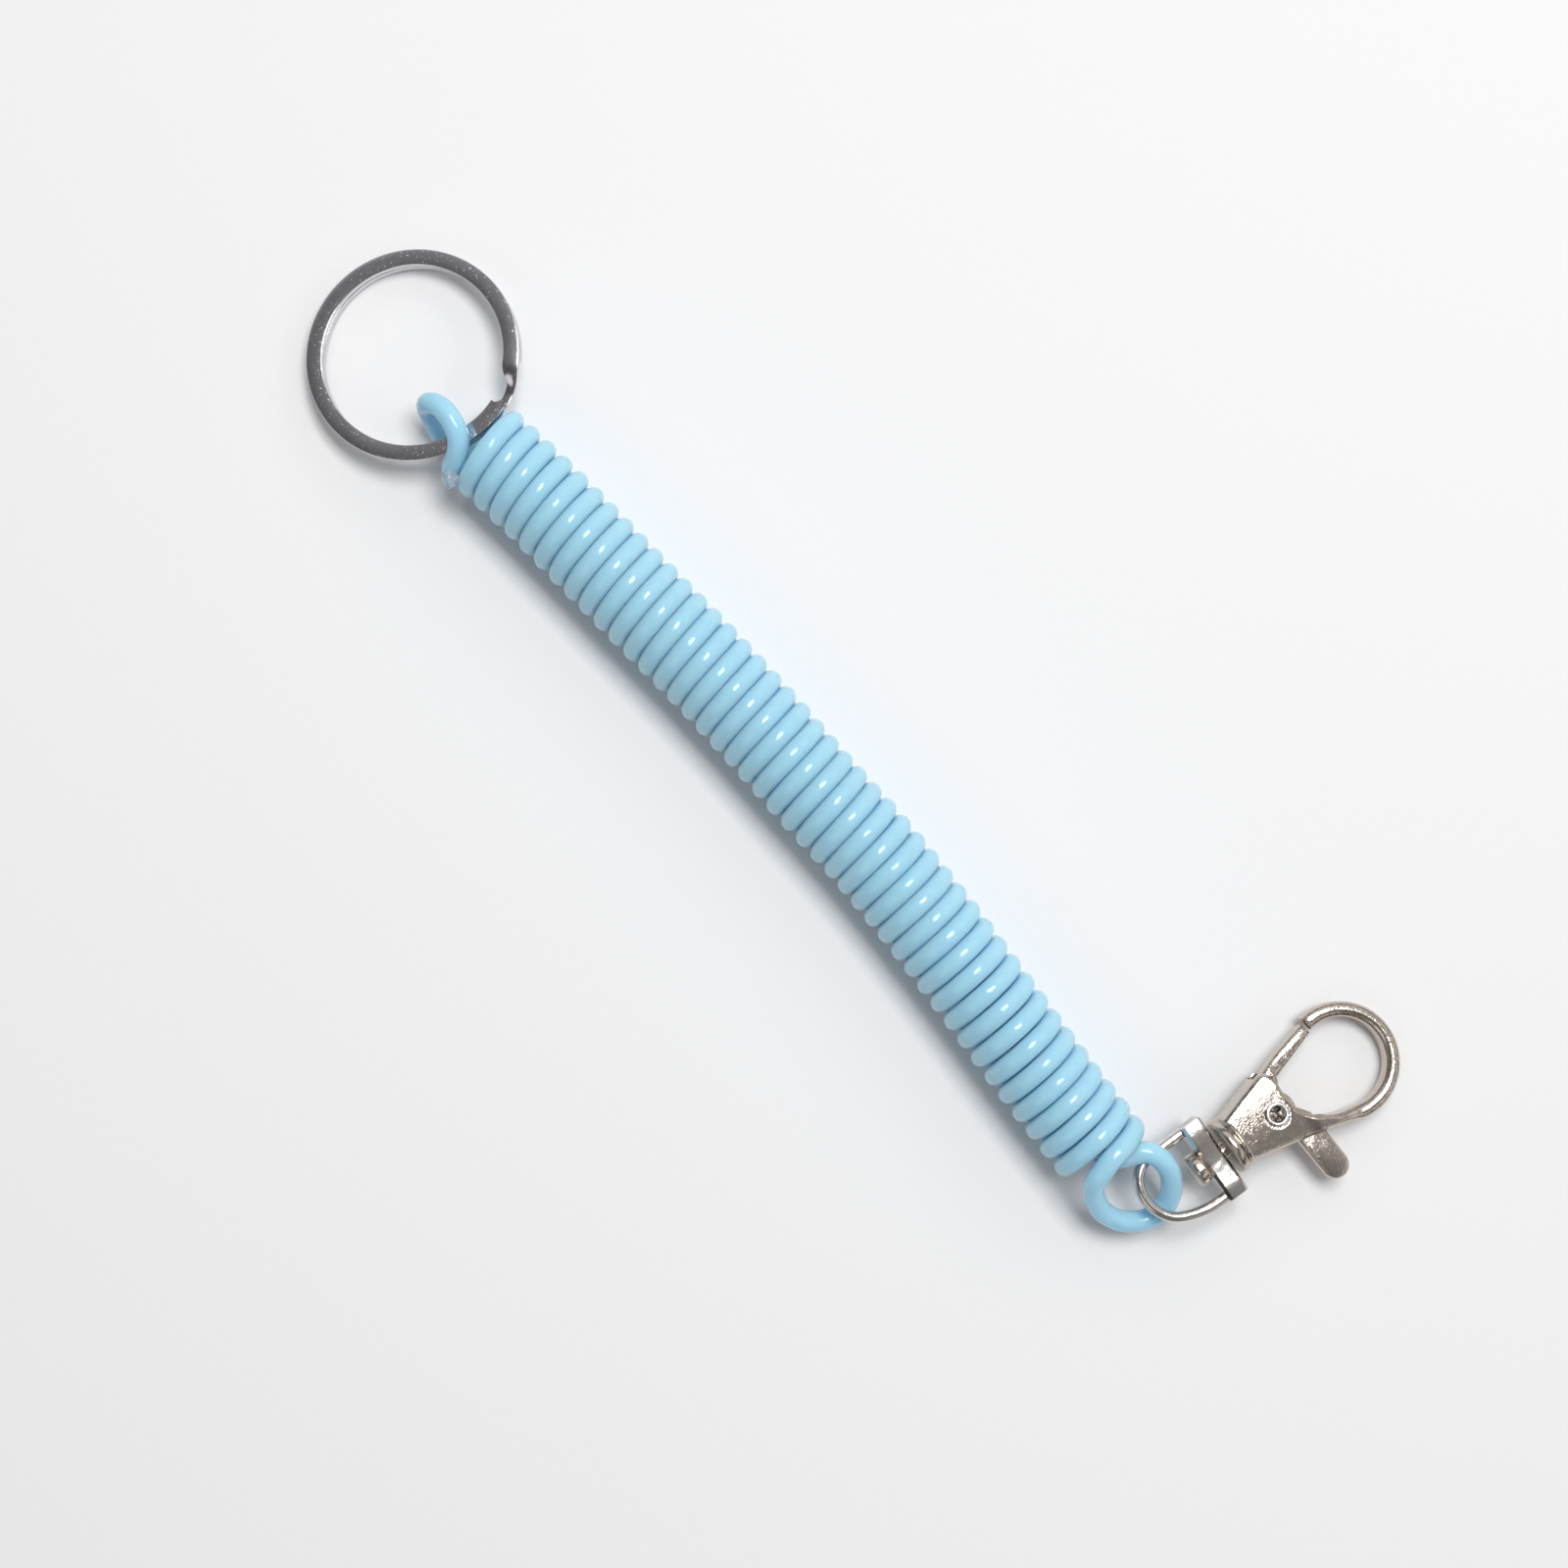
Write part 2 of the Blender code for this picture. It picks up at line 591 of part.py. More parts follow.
def cut_taper(body, side, parent):
    """The cheeks thin down to the bar's depth past the rivet."""
    high = side * CHEEK_DEPTH / 2
    low = side * HOOK_BAR_DEPTH / 2
    past = side * (CHEEK_DEPTH / 2 + OVERRUN)
    bm = bmesh.new()
    end = TAPER_END + OVERRUN
    profile = [(TAPER_START, high), (TAPER_END, low), (end, low), (end, past), (TAPER_START, past)]
    reach = HOOK_OUTER_RADIUS + OVERRUN
    base = bm.faces.new([bm.verts.new((x, -reach, z)) for x, z in profile])
    raised = bmesh.ops.extrude_face_region(bm, geom=[base])
    moved = [item for item in raised["geom"] if isinstance(item, bmesh.types.BMVert)]
    bmesh.ops.translate(bm, verts=moved, vec=(0, 2 * reach, 0))
    name = f"taper_cutter_{'upper' if side > 0 else 'lower'}"
    return cut(body, add_object(name, mesh_from(name, bm), parent))


def stem_profile():
    """Collar, neck, stem and peened head, turned about the swivel axis: (distance along X, radius)."""
    front = -COLLAR_FRONT
    back = front - COLLAR_THICKNESS
    head_front = crossbar_x() - BAIL_BAR_WIDTH / 2 - FIT_GAP
    head_back = head_front - STEM_HEAD_THICKNESS
    soft, head_soft = COLLAR_ROUNDING, STEM_HEAD_ROUNDING
    return [
        (head_back, 0), (head_back, STEM_HEAD_RADIUS - head_soft),
        (head_back + head_soft, STEM_HEAD_RADIUS), (head_front - head_soft, STEM_HEAD_RADIUS),
        (head_front, STEM_HEAD_RADIUS - head_soft),
        (head_front, STEM_RADIUS), (back, STEM_RADIUS), (back, COLLAR_RADIUS - soft),
        (back + soft, COLLAR_RADIUS), (front - soft, COLLAR_RADIUS), (front, COLLAR_RADIUS - soft),
        (front, NECK_RADIUS + soft), (front + NECK_LENGTH, NECK_RADIUS - soft), (front + NECK_LENGTH, 0),
    ]


def round_cutter(name, radius, low, high, parent):
    return turned(name, [(low, 0), (low, radius), (high, radius), (high, 0)], "Z", parent)


def build_hook_body(parent, material):
    """Cheeks, bar, collar and stem: one casting, slotted for the gate and bored for its rivet."""
    body = prism("hook_body", cheek_outline(), -CHEEK_DEPTH / 2, CHEEK_DEPTH / 2, parent, material)
    add_bevel(body, CHEEK_ROUNDING)
    for side in (1, -1):
        cut_taper(body, side, parent)
    bar = prism("hook_bar", hook_bar_outline(), -HOOK_BAR_DEPTH / 2, HOOK_BAR_DEPTH / 2, parent)
    join(body, add_bevel(bar, HOOK_BAR_ROUNDING))
    join(body, turned("collar_and_stem", stem_profile(), "X", parent))
    side = HOOK_OUTER_RADIUS + OVERRUN
    low, high = (-SLOT_BACK, -side, -SLOT_DEPTH / 2), (SLOT_FRONT, side, SLOT_DEPTH / 2)
    cut(body, box("gate_slot", low, high, parent))
    past = CHEEK_DEPTH / 2 + OVERRUN
    cut(body, round_cutter("rivet_bore", RIVET_RADIUS + RIVET_SEAT_GAP, -past, past, parent))
    floor = CHEEK_DEPTH / 2 - RECESS_DEPTH
    cut(body, round_cutter("upper_recess", RECESS_RADIUS, floor, past, parent))
    cut(body, round_cutter("lower_recess", RECESS_RADIUS, -past, -floor, parent))
    return body


def lever_outline():
    """The thumb lever: a straight strip from the hub with a round end."""
    half = LEVER_WIDTH / 2
    tip = -(LEVER_REACH - half)
    end = arc((LEVER_OFFSET, tip), half, math.pi, math.tau)
    return [(LEVER_OFFSET - half, 0), *end, (LEVER_OFFSET + half, -HUB_RADIUS), (LEVER_OFFSET, 0)]


def build_gate_lever(parent, material):
    """Gate arm, hub and thumb lever in one casting, with the spring's pocket sunk into the hub."""
    half = GATE_DEPTH / 2
    gate = round_cutter("gate_lever", HUB_RADIUS, -half, half, parent)
    gate.data.materials.append(material)
    outline = [(x * GATE_TIP_X, y * GATE_TIP_Y) for x, y in GATE_ARM_SHARES]
    join(gate, add_bevel(prism("gate_arm", outline, -half, half, parent), GATE_ROUNDING))
    lever_half = half - FIT_GAP
    lever = prism("thumb_lever", lever_outline(), -lever_half, lever_half, parent)
    lever.rotation_euler = (0, 0, LEVER_LEAN)
    join(gate, add_bevel(lever, LEVER_ROUNDING))
    past = half + OVERRUN
    cut(gate, round_cutter("hub_bore", RIVET_RADIUS + FIT_GAP, -past, past, parent))
    pocket = SPRING_RADIUS + SPRING_WIRE_DIAMETER / 2 + SPRING_POCKET_GAP
    cut(gate, round_cutter("spring_pocket", pocket, -SPRING_FLOOR, past, parent))
    reach = HUB_RADIUS + OVERRUN
    cut(gate, box("pocket_mouth", (-reach, 0, -SPRING_FLOOR), (0, pocket, past), parent))
    leg_half = SPRING_WIRE_DIAMETER / 2 + SPRING_LEG_GAP
    leg_floor = spring_base() + SPRING_TURNS * SPRING_PITCH - leg_half
    low = (SPRING_RADIUS - leg_half, -(SPRING_LEG + leg_half), leg_floor)
    cut(gate, box("spring_leg_groove", low, (SPRING_RADIUS + leg_half, 0, past), parent))
    return gate


def rivet_profile():
    """A rivet with a flat head below and a rolled lip above: (height, radius)."""
    floor = CHEEK_DEPTH / 2 - RECESS_DEPTH
    head = -(floor + RIVET_SEAT_GAP)
    lip = floor + RIVET_SEAT_GAP
    top = lip + RIVET_LIP_HEIGHT
    rim = (RIVET_LIP_RADIUS - RIVET_HOLLOW_RADIUS) / 3
    hollow = top - RIVET_HOLLOW_DEPTH
    return [
        (head - RIVET_HEAD_HEIGHT, 0), (head - RIVET_HEAD_HEIGHT, RIVET_HEAD_RADIUS - rim),
        (head - rim, RIVET_HEAD_RADIUS), (head, RIVET_HEAD_RADIUS), (head, RIVET_RADIUS),
        (lip, RIVET_RADIUS), (lip, RIVET_LIP_RADIUS), (top - rim, RIVET_LIP_RADIUS),
        (top, RIVET_LIP_RADIUS - rim), (top, RIVET_HOLLOW_RADIUS + rim), (top - rim, RIVET_HOLLOW_RADIUS),
        (hollow, RIVET_HOLLOW_RADIUS), (hollow, 0),
    ]


def spring_base():
    """Height of the spring's first turn: its wire lies just clear of the pocket's floor."""
    return -SPRING_FLOOR + SPRING_FLOOR_GAP + SPRING_WIRE_DIAMETER / 2


def build_gate_spring(parent, material):
    """A torsion spring round the rivet: one leg bears on the slot's end, the other lies in the lever."""
    count = round(SPRING_TURNS * SPRING_POINTS_PER_TURN)
    wall = -(SLOT_BACK - SPRING_WIRE_DIAMETER)
    points = [Vector((wall, SPRING_RADIUS, spring_base()))]
    for step in range(count + 1):
        turn = step / SPRING_POINTS_PER_TURN
        angle = math.pi / 2 - math.tau * turn
        height = spring_base() + SPRING_PITCH * turn
        points.append(Vector((math.cos(angle) * SPRING_RADIUS, math.sin(angle) * SPRING_RADIUS, height)))
    points.append(Vector((SPRING_RADIUS, -SPRING_LEG, points[-1].z)))
    add_tube_curve("gate_spring", points, SPRING_WIRE_DIAMETER, 1, parent, material)


def main():
    clear_scene()
    materials = {name: make_material(name) for name in COLOURS}
    clasp_end = add_empty("clasp_end_pull", Matrix.Identity(4))
    ring_pivot = add_empty("ring_pivot", ring_pivot_matrix())
    to_apex = Matrix.Translation((bail_apex_x(), 0, 0))
    bail_pivot = add_empty("bail_pivot", hook_matrix() @ to_apex, clasp_end)
    hook_axis = add_empty("hook_axis", to_apex.inverted(), bail_pivot)
    gate_pivot = add_empty("gate_pivot", Matrix.Identity(4), hook_axis)
    build_coil(materials["blue_cord"])
    build_loops(materials["blue_cord"], clasp_end)
    build_beads(materials["clear_adhesive"], clasp_end)
    build_split_ring(ring_pivot, materials["ring_steel"])
    build_swivel_bail(bail_pivot, materials["hook_nickel"])
    build_hook_body(hook_axis, materials["hook_nickel"])
    build_gate_lever(gate_pivot, materials["hook_nickel"])
    turned("gate_rivet", rivet_profile(), "Z", hook_axis, materials["rivet_steel"])
    build_gate_spring(hook_axis, materials["spring_steel"])


main()
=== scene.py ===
# %% [markdown]
# # Coil keychain
# A moulded coil cord lies on a white table. A split ring is tied into its upper end and a small
# swivel snap hook hangs in its lower end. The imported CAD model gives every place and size, and this
# script dresses it: finer shapes where the eye looks closely, and a procedural finish on every piece.

import json
import math
from itertools import product

import bmesh
import bpy
import numpy as np
from mathutils import Matrix, Vector


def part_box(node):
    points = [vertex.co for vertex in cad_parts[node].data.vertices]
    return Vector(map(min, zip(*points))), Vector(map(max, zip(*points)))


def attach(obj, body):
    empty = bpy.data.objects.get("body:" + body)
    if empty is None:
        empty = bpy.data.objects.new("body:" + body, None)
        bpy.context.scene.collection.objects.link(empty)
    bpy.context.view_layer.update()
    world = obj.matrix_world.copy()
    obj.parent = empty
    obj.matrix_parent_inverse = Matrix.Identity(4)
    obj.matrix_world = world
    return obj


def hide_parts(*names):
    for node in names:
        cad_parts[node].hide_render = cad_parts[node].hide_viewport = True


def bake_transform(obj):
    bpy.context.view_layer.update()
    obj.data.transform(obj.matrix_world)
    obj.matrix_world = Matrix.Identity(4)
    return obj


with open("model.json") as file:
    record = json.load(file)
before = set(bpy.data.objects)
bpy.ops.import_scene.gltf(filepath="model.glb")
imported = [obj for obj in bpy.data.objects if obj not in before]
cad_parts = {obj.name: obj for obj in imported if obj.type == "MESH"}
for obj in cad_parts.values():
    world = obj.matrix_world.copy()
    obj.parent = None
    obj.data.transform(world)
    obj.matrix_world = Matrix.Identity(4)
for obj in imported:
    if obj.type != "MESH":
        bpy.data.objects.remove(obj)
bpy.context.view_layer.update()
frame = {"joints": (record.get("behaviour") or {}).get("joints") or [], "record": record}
MM = 0.001
scene = bpy.context.scene
scene.view_settings.view_transform = "Standard"

# %% [markdown]
# ## The camera
# The keychain was photographed from straight above. A camera that looks straight down needs only a
# place, a lens and a turn about its own line of sight. The turn follows from which way on the table
# points right in the picture, and it lays the coil from the upper left to the lower right. The lens
# is worked out from how much of the table fills the frame.

# %% Place the camera
CAMERA_SPOT = Vector((-0.00231, -0.00273, 0.400))
RIGHT_IN_PICTURE = {"x": 0.6768, "y": 0.7361}
CAMERA_TURN = math.atan2(RIGHT_IN_PICTURE["y"], RIGHT_IN_PICTURE["x"])
TABLE_IN_VIEW = 0.22448

camera = bpy.data.objects.new("camera", bpy.data.cameras.new("camera"))
camera.data.sensor_width = 36.0
camera.data.lens = camera.data.sensor_width * CAMERA_SPOT.z / TABLE_IN_VIEW
camera.location = CAMERA_SPOT
camera.rotation_euler = (0, 0, CAMERA_TURN)
scene.collection.objects.link(camera)
scene.camera = camera
print(f"lens {camera.data.lens:.1f} mm, camera turned {math.degrees(CAMERA_TURN):.1f} degrees")

# %% [markdown]
# ## The cord's route
# Coil, tied ends and all, the blue cord is one moulded piece about 1.6 m long. So its route is
# worked out once, as a line of points: the loop round the split ring, 43 turns, and the loop round
# the hook's bail. The turns come from a loop over angles, and two short tables say how their pitch
# and the lie of the coil vary from the ring's end to the hook's. The tied loops follow no formula, so
# their points are listed one by one. They are in millimetres, and the other sizes here are in metres.

# %% Sizes of the cord
CORD_DIAMETER = 0.00308
COIL_RADIUS = 0.00545
COIL_LIFT = 0.00699
COIL_LENGTH = 0.1311
COIL_TURNS = 43
POINTS_PER_TURN = 24
COIL_BOW = 0.0048
BOW_STEPS = 10
ROUTE_STEPS = 4
PITCH_SHARES = (
    (0.0, 0.992), (0.12, 0.992), (0.25, 0.966), (0.4, 0.981), (0.55, 0.998), (0.62, 0.988),
    (0.72, 1.0), (0.78, 1.04), (0.86, 1.05), (0.92, 1.02), (1.0, 1.09),
)
BOW_SHARES = (
    (-1.03, -0.40), (-0.85, -0.19), (-0.68, -0.11), (-0.51, -0.04), (-0.34, 0.04),
    (-0.16, 0.05), (0.02, 0.0), (0.2, -0.02), (0.4, -0.19), (0.57, -0.41), (0.74, -0.66),
    (0.9, -0.86), (1.07, -1.03),
)
RING_LOOP = (
    (-66.4, -7.9, 6.9), (-66.6, -6.8, 8.2), (-67.15, -5.2, 9.6), (-68.3, -3.7, 10.75),
    (-69.9, -2.8, 11.3), (-72.1, -2.35, 11.1), (-74.1, -2.6, 10.1), (-75.3, -3.3, 8.4),
    (-75.3, -3.9, 6.4), (-74.2, -4.35, 4.6), (-72.3, -4.85, 3.2), (-70.2, -5.1, 2.2),
    (-68.35, -4.75, 1.6), (-67.2, -3.9, 1.5),
)
CLASP_LOOP = (
    (67.15, -6.25, 12.25), (67.45, -7.55, 11.85), (67.95, -8.6, 11.1), (68.65, -9.3, 10.1),
    (69.6, -9.85, 9.0), (70.75, -10.13, 7.9), (71.96, -10.44, 6.9), (73.89, -10.13, 5.5),
    (75.74, -9.27, 4.6), (77.38, -7.56, 4.05), (78.15, -5.94, 3.9), (78.22, -4.4, 4.2),
    (77.84, -2.76, 5.0), (77.14, -1.66, 6.0), (76.18, -0.86, 7.0), (74.35, 0.28, 8.4),
    (72.38, 0.6, 9.5), (70.73, 0.3, 10.05), (69.58, -0.4, 10.2), (68.9, -1.6, 10.0),
    (68.2, -3.1, 9.6), (67.2, -4.3, 9.2), (66.1, -5.1, 8.9),
)
print(f"{COIL_TURNS} turns of {CORD_DIAMETER / MM:.2f} mm cord on {COIL_LENGTH / MM:.0f} mm")

# %% A smooth line through points
def smooth_line(points, steps):
    """A curve that passes through every point, with the given number of steps between two of them."""
    points = np.array(points, float)
    padded = np.vstack([2 * points[0] - points[1], points, 2 * points[-1] - points[-2]])
    t = (np.arange(steps) / steps)[:, None]
    stretches = []
    for before, start, end, after in zip(padded, padded[1:], padded[2:], padded[3:]):
        leave, arrive = (end - before) / 2, (after - start) / 2
        stretches.append(
            start * (2 * t**3 - 3 * t**2 + 1) + end * (3 * t**2 - 2 * t**3)
            + leave * (t - 2 * t**2 + t**3) + arrive * (t**3 - t**2)
        )
    return np.vstack([*stretches, points[-1:]])


# %% Wind the coil
def coil_points():
    """Centre points of the wound part, from the middle of its underside to its last crown."""
    shares = np.array(PITCH_SHARES)
    steps = np.arange(COIL_TURNS * POINTS_PER_TURN + 1)
    rates = np.interp(steps / steps[-1], shares[:, 0], shares[:, 1])
    along = np.concatenate([[0], np.cumsum((rates[1:] + rates[:-1]) / 2)])
    along *= COIL_LENGTH / along[-1]
    middle = np.interp(steps[-1] / 2, steps, along)
    half = COIL_LENGTH / 2
    line = smooth_line([(x * half, y * COIL_BOW, 0) for x, y in BOW_SHARES], BOW_STEPS)
    reach = half / COIL_TURNS
    points = []
    for step in range(-POINTS_PER_TURN // 2, COIL_TURNS * POINTS_PER_TURN + 1):
        x = (along[step] if step >= 0 else step * along[1]) - middle
        behind, y, ahead = np.interp((x - reach, x, x + reach), line[:, 0], line[:, 1])
        across = np.array((behind - ahead, 2 * reach, 0))
        across /= np.linalg.norm(across)
        turn = math.pi / 2 + math.tau * step / POINTS_PER_TURN
        outward = across * math.cos(turn) + np.array((0, 0, math.sin(turn)))
        points.append(np.array((x, y, COIL_LIFT)) + outward * COIL_RADIUS)
    return np.array(points)


wound = coil_points()
by_hand = [np.array(loop) * MM for loop in (RING_LOOP, CLASP_LOOP)]
route = smooth_line(np.vstack([by_hand[0], wound, by_hand[1]]), ROUTE_STEPS)
steps_along = np.linalg.norm(np.diff(route, axis=0), axis=1)
travelled = np.concatenate([[0], np.cumsum(steps_along)])
print(f"{len(route)} points, {travelled[-1]:.3f} m of cord")

# %% [markdown]
# ## The cord as a tube
# A curve with a bevel would draw the cord, but this cord stretches: its coil opens as the hook is
# pulled away. Here the cord is a mesh tube instead, a ring of points at each step along its route,
# and each point's place at rest is stored on the mesh. The tube's ends are rounded over where the
# cord was cut.

# %% Lines and tubes
def unit(vectors):
    """The same directions, each one unit long."""
    return vectors / np.linalg.norm(vectors, axis=-1, keepdims=True)


def even_points(points, distances, step):
    """The same line with its points an even distance apart."""
    count = round(distances[-1] / step)
    spots = np.linspace(0, distances[-1], count + 1)
    return np.stack([np.interp(spots, distances, points[:, axis]) for axis in range(3)], axis=1), spots


def tube_frames(points):
    """At each point, two directions across the line that don't twist round it."""
    along = unit(np.gradient(points, axis=0))
    side = np.cross(along[0], (0, 0, 1.0))
    sides = []
    for direction in along:
        side = side - direction * (side @ direction)
        side /= np.linalg.norm(side)
        sides.append(side)
    sides = np.array(sides)
    return sides, np.cross(along, sides)


def loop_faces(loops, sides):
    """Faces of a closed tube: quads between its loops, and a face at each end."""
    faces = []
    for loop in range(loops - 1):
        for side in range(sides):
            other = (side + 1) % sides
            a, b = loop * sides, (loop + 1) * sides
            faces.append((a + side, a + other, b + other, b + side))
    faces.append(tuple(range(sides))[::-1])
    faces.append(tuple((loops - 1) * sides + side for side in range(sides)))
    return faces


# %% Pieces
PIECE_CREASE = 35.0


def smooth_over(mesh, crease):
    """Smooth a mesh, apart from edges sharper than the crease angle in degrees."""
    mesh.shade_smooth()
    mesh.set_sharp_from_angle(angle=math.radians(crease))


def add_piece(name, verts, faces, place=None, crease=PIECE_CREASE):
    """A mesh object from vertices and faces, carried to its place."""
    mesh = bpy.data.meshes.new(name)
    mesh.from_pydata([tuple(map(float, v)) for v in verts], [], faces)
    return finish_piece(name, mesh, place, crease)


def finish_piece(name, mesh, place=None, crease=PIECE_CREASE):
    """Carry every vertex to its place, turn every face outwards, and smooth the mesh."""
    if place is not None:
        mesh.transform(place)
    shape = bmesh.new()
    shape.from_mesh(mesh)
    bmesh.ops.recalc_face_normals(shape, faces=shape.faces)
    shape.to_mesh(mesh)
    shape.free()
    smooth_over(mesh, crease)
    piece = bpy.data.objects.new(name, mesh)
    scene.collection.objects.link(piece)
    return piece


# %% Draw the cord
CORD_STEP = 0.00070
CORD_SIDES = 20
END_ROUNDING = (0.55, 0.86, 1.0)

cord_line, cord_spots = even_points(route, travelled, CORD_STEP)
across, up = tube_frames(cord_line)
radii = np.full(len(cord_line), CORD_DIAMETER / 2)
rounded = len(END_ROUNDING)
radii[:rounded] *= END_ROUNDING
radii[-rounded:] *= END_ROUNDING[::-1]
angles = np.arange(CORD_SIDES) * math.tau / CORD_SIDES
circle = across[:, None] * np.cos(angles)[:, None] + up[:, None] * np.sin(angles)[:, None]
cord_verts = (cord_line[:, None] + circle * radii[:, None, None]).reshape(-1, 3)
cord = add_piece("coil_cord", cord_verts, loop_faces(len(cord_line), CORD_SIDES))
print(f"{cord.name}: {len(cord_line)} loops of {CORD_SIDES}, {len(cord.data.polygons)} faces")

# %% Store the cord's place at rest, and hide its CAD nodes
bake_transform(cord)
rest = cord.data.attributes.new("rest_place", "FLOAT_VECTOR", "POINT")
rest.data.foreach_set("vector", cord_verts.astype(np.float32).ravel())
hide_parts("ring_end_loop", "coil", "clasp_end_loop")

# %% [markdown]
# ## Where the metal pieces stand
# Ring, bail and hook each lie at their own slant. The record gives every joint a place and an axis,
# and every mount a face, which is enough to stand up each piece's own axes. A piece is then drawn
# flat in those axes, in millimetres, and its vertices are carried to where it lies.

# %% Axes of the pieces
joints = {joint["name"]: joint for joint in frame["joints"]}
mounts = {mount["name"]: mount for mount in frame["record"]["mounts"]}


def stand(spot, x_axis, z_axis):
    """The place of a piece that is drawn in millimetres in axes of its own."""
    x_axis, z_axis = Vector(x_axis).normalized(), Vector(z_axis).normalized()
    y_axis = z_axis.cross(x_axis).normalized()
    turn = Matrix((x_axis, y_axis, x_axis.cross(y_axis))).transposed().to_4x4()
    return Matrix.Translation(spot) @ turn @ Matrix.Scale(MM, 4)


ring_up = Vector(mounts["ring_face"]["axis"])
ring_across = Vector(joints["ring_swing"]["axis"]).cross(ring_up)
ring_place = stand(joints["ring_swing"]["pos_m"], ring_across, ring_up)
hook_along = Vector(joints["hook_swivel"]["axis"])
hook_up = -Vector(joints["gate_hinge"]["axis"])
hook_place = stand(joints["hook_swivel"]["pos_m"], hook_along, hook_up)
bail_place = stand(joints["bail_swing"]["pos_m"], hook_along, hook_up)
print("rivet at", [round(c / MM, 2) for c in hook_place.translation], "mm")


def hang(piece, body, slot, *nodes):
    """Let a piece ride on a body in place of its CAD nodes."""
    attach(piece, body)
    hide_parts(*nodes)
    print(f"{piece.name}: {len(piece.data.polygons)} faces, rides on {body}")


# %% [markdown]
# ## The split ring
# A split ring is one flat wire wound twice round. Where it has to climb from the lower turn on to the
# upper one it is pinched narrow and bent over a short slope, and that slope is the bright mark in an
# otherwise dark ring. A bevelled curve can scale its section but not reshape it. So here a section
# with rounded corners is carried round both turns, with a level, a width and a distance from the
# middle of its own at every step. Angles are in degrees and sizes in millimetres.

# %% Sections and sweeps
def rounded_section(width, height, radius, steps):
    """A rectangle with rounded corners, as points (across, up)."""
    points = []
    for corner, (x, y) in enumerate(((1, 1), (-1, 1), (-1, -1), (1, -1))):
        middle = np.array((x * (width / 2 - radius), y * (height / 2 - radius)))
        for step in range(steps + 1):
            angle = (corner + step / steps) * math.pi / 2
            points.append(middle + radius * np.array((math.cos(angle), math.sin(angle))))
    return np.array(points)


def swept(points, sections):
    """A section of points (across the line, upwards) carried along a line."""
    points = np.array(points, float)
    along = unit(np.gradient(points, axis=0))
    across = unit(np.cross(along, (0, 0, 1.0)))
    high = np.cross(across, along)
    sections = np.broadcast_to(sections, (len(points), *np.shape(sections)[-2:]))
    wide, tall = sections[..., :1], sections[..., 1:]
    loops = points[:, None] + across[:, None] * wide + high[:, None] * tall
    return loops.reshape(-1, 3), loop_faces(len(points), sections.shape[1])


def ease(value, start, end):
    """Runs smoothly from 0 at the start to 1 at the end."""
    share = np.clip((value - start) / (end - start), 0, 1)
    return share**2 * (3 - 2 * share)


# %% Wind the split ring
RING_RADIUS = 14.25
RING_WIRE = (2.3, 1.1)
RING_ROUNDING = 0.14
LEAF_RISE = 1.2
RING_START, RING_TRAVEL = 59.9, 692.8
RING_STEP, RING_STEPS = 1.5, 462
SLOPE_START, SLOPE_END = 340.0, 358.0
PINCH_START, PINCH_DEEP, PINCH_LEFT, PINCH_EASED = 329.0, 337.0, 344.0, 357.0
PINCH_DEPTH, PINCH_OUTWARD = 1.0, 0.2
END_FLARE, FLARE_TRAVEL = 0.30, 30

turned_by = RING_STEP * np.arange(RING_STEPS + 1)
level = LEAF_RISE * (ease(turned_by, SLOPE_START, SLOPE_END) - 0.5)
narrowed = ease(turned_by, PINCH_START, PINCH_DEEP)
pinch = PINCH_DEPTH * narrowed * (1 - ease(turned_by, PINCH_LEFT, PINCH_EASED))
flare = END_FLARE * ease(turned_by, RING_TRAVEL - FLARE_TRAVEL, RING_TRAVEL)
radius = RING_RADIUS + pinch / 2 + flare + PINCH_OUTWARD * pinch
bearing = np.radians(RING_START + turned_by)
ring_flat = (radius * np.cos(bearing) - RING_RADIUS, radius * np.sin(bearing))
ring_line = np.stack([*ring_flat, level], axis=1)
wire_width, wire_height = RING_WIRE
ring_sections = np.array(
    [rounded_section(wire_width - pinched, wire_height, RING_ROUNDING, steps=3) for pinched in pinch]
)
ring = add_piece("key_ring", *swept(ring_line, ring_sections), ring_place)
hang(ring, "ring", "ring_steel", "split_ring")

# %% [markdown]
# ## Castings with eased edges
# The hook, its gate and its thumb lever are zinc castings. From above each is a flat outline, and
# its edges are eased all round. A Bevel modifier gives all its edges one profile. Here the outline
# is stepped inwards instead, each step a little higher, so that an edge can change from a chamfer to
# a full round. The two large faces have no points of their own. They are sliced into a grid, and
# the grid is then shaped, so that a cheek can be slightly domed and thin down towards the bar.

# %% Outlines
MITRE_LIMIT = 0.5


def arc_points(middle, radius, start, end, step=4.0):
    """Points on an arc, from one bearing to another in degrees."""
    count = max(2, math.ceil(abs(end - start) / step))
    bearings = np.radians(np.linspace(start, end, count + 1))
    return [(middle[0] + radius * math.cos(b), middle[1] + radius * math.sin(b)) for b in bearings]


def inset(outline, distance):
    """The outline moved inwards by a distance. The outline runs anticlockwise."""
    before = unit(outline - np.roll(outline, 1, axis=0))
    after = unit(np.roll(outline, -1, axis=0) - outline)
    inward_before = np.stack([-before[:, 1], before[:, 0]], axis=1)
    inward_after = np.stack([-after[:, 1], after[:, 0]], axis=1)
    meet = 1 + np.sum(inward_before * inward_after, axis=1, keepdims=True)
    return outline + distance * (inward_before + inward_after) / np.maximum(meet, MITRE_LIMIT)


# %% Castings
CASTING_CREASE = 40.0
BLANK_HALF_DEPTH = 10.0
GRID_TOLERANCE = 0.001


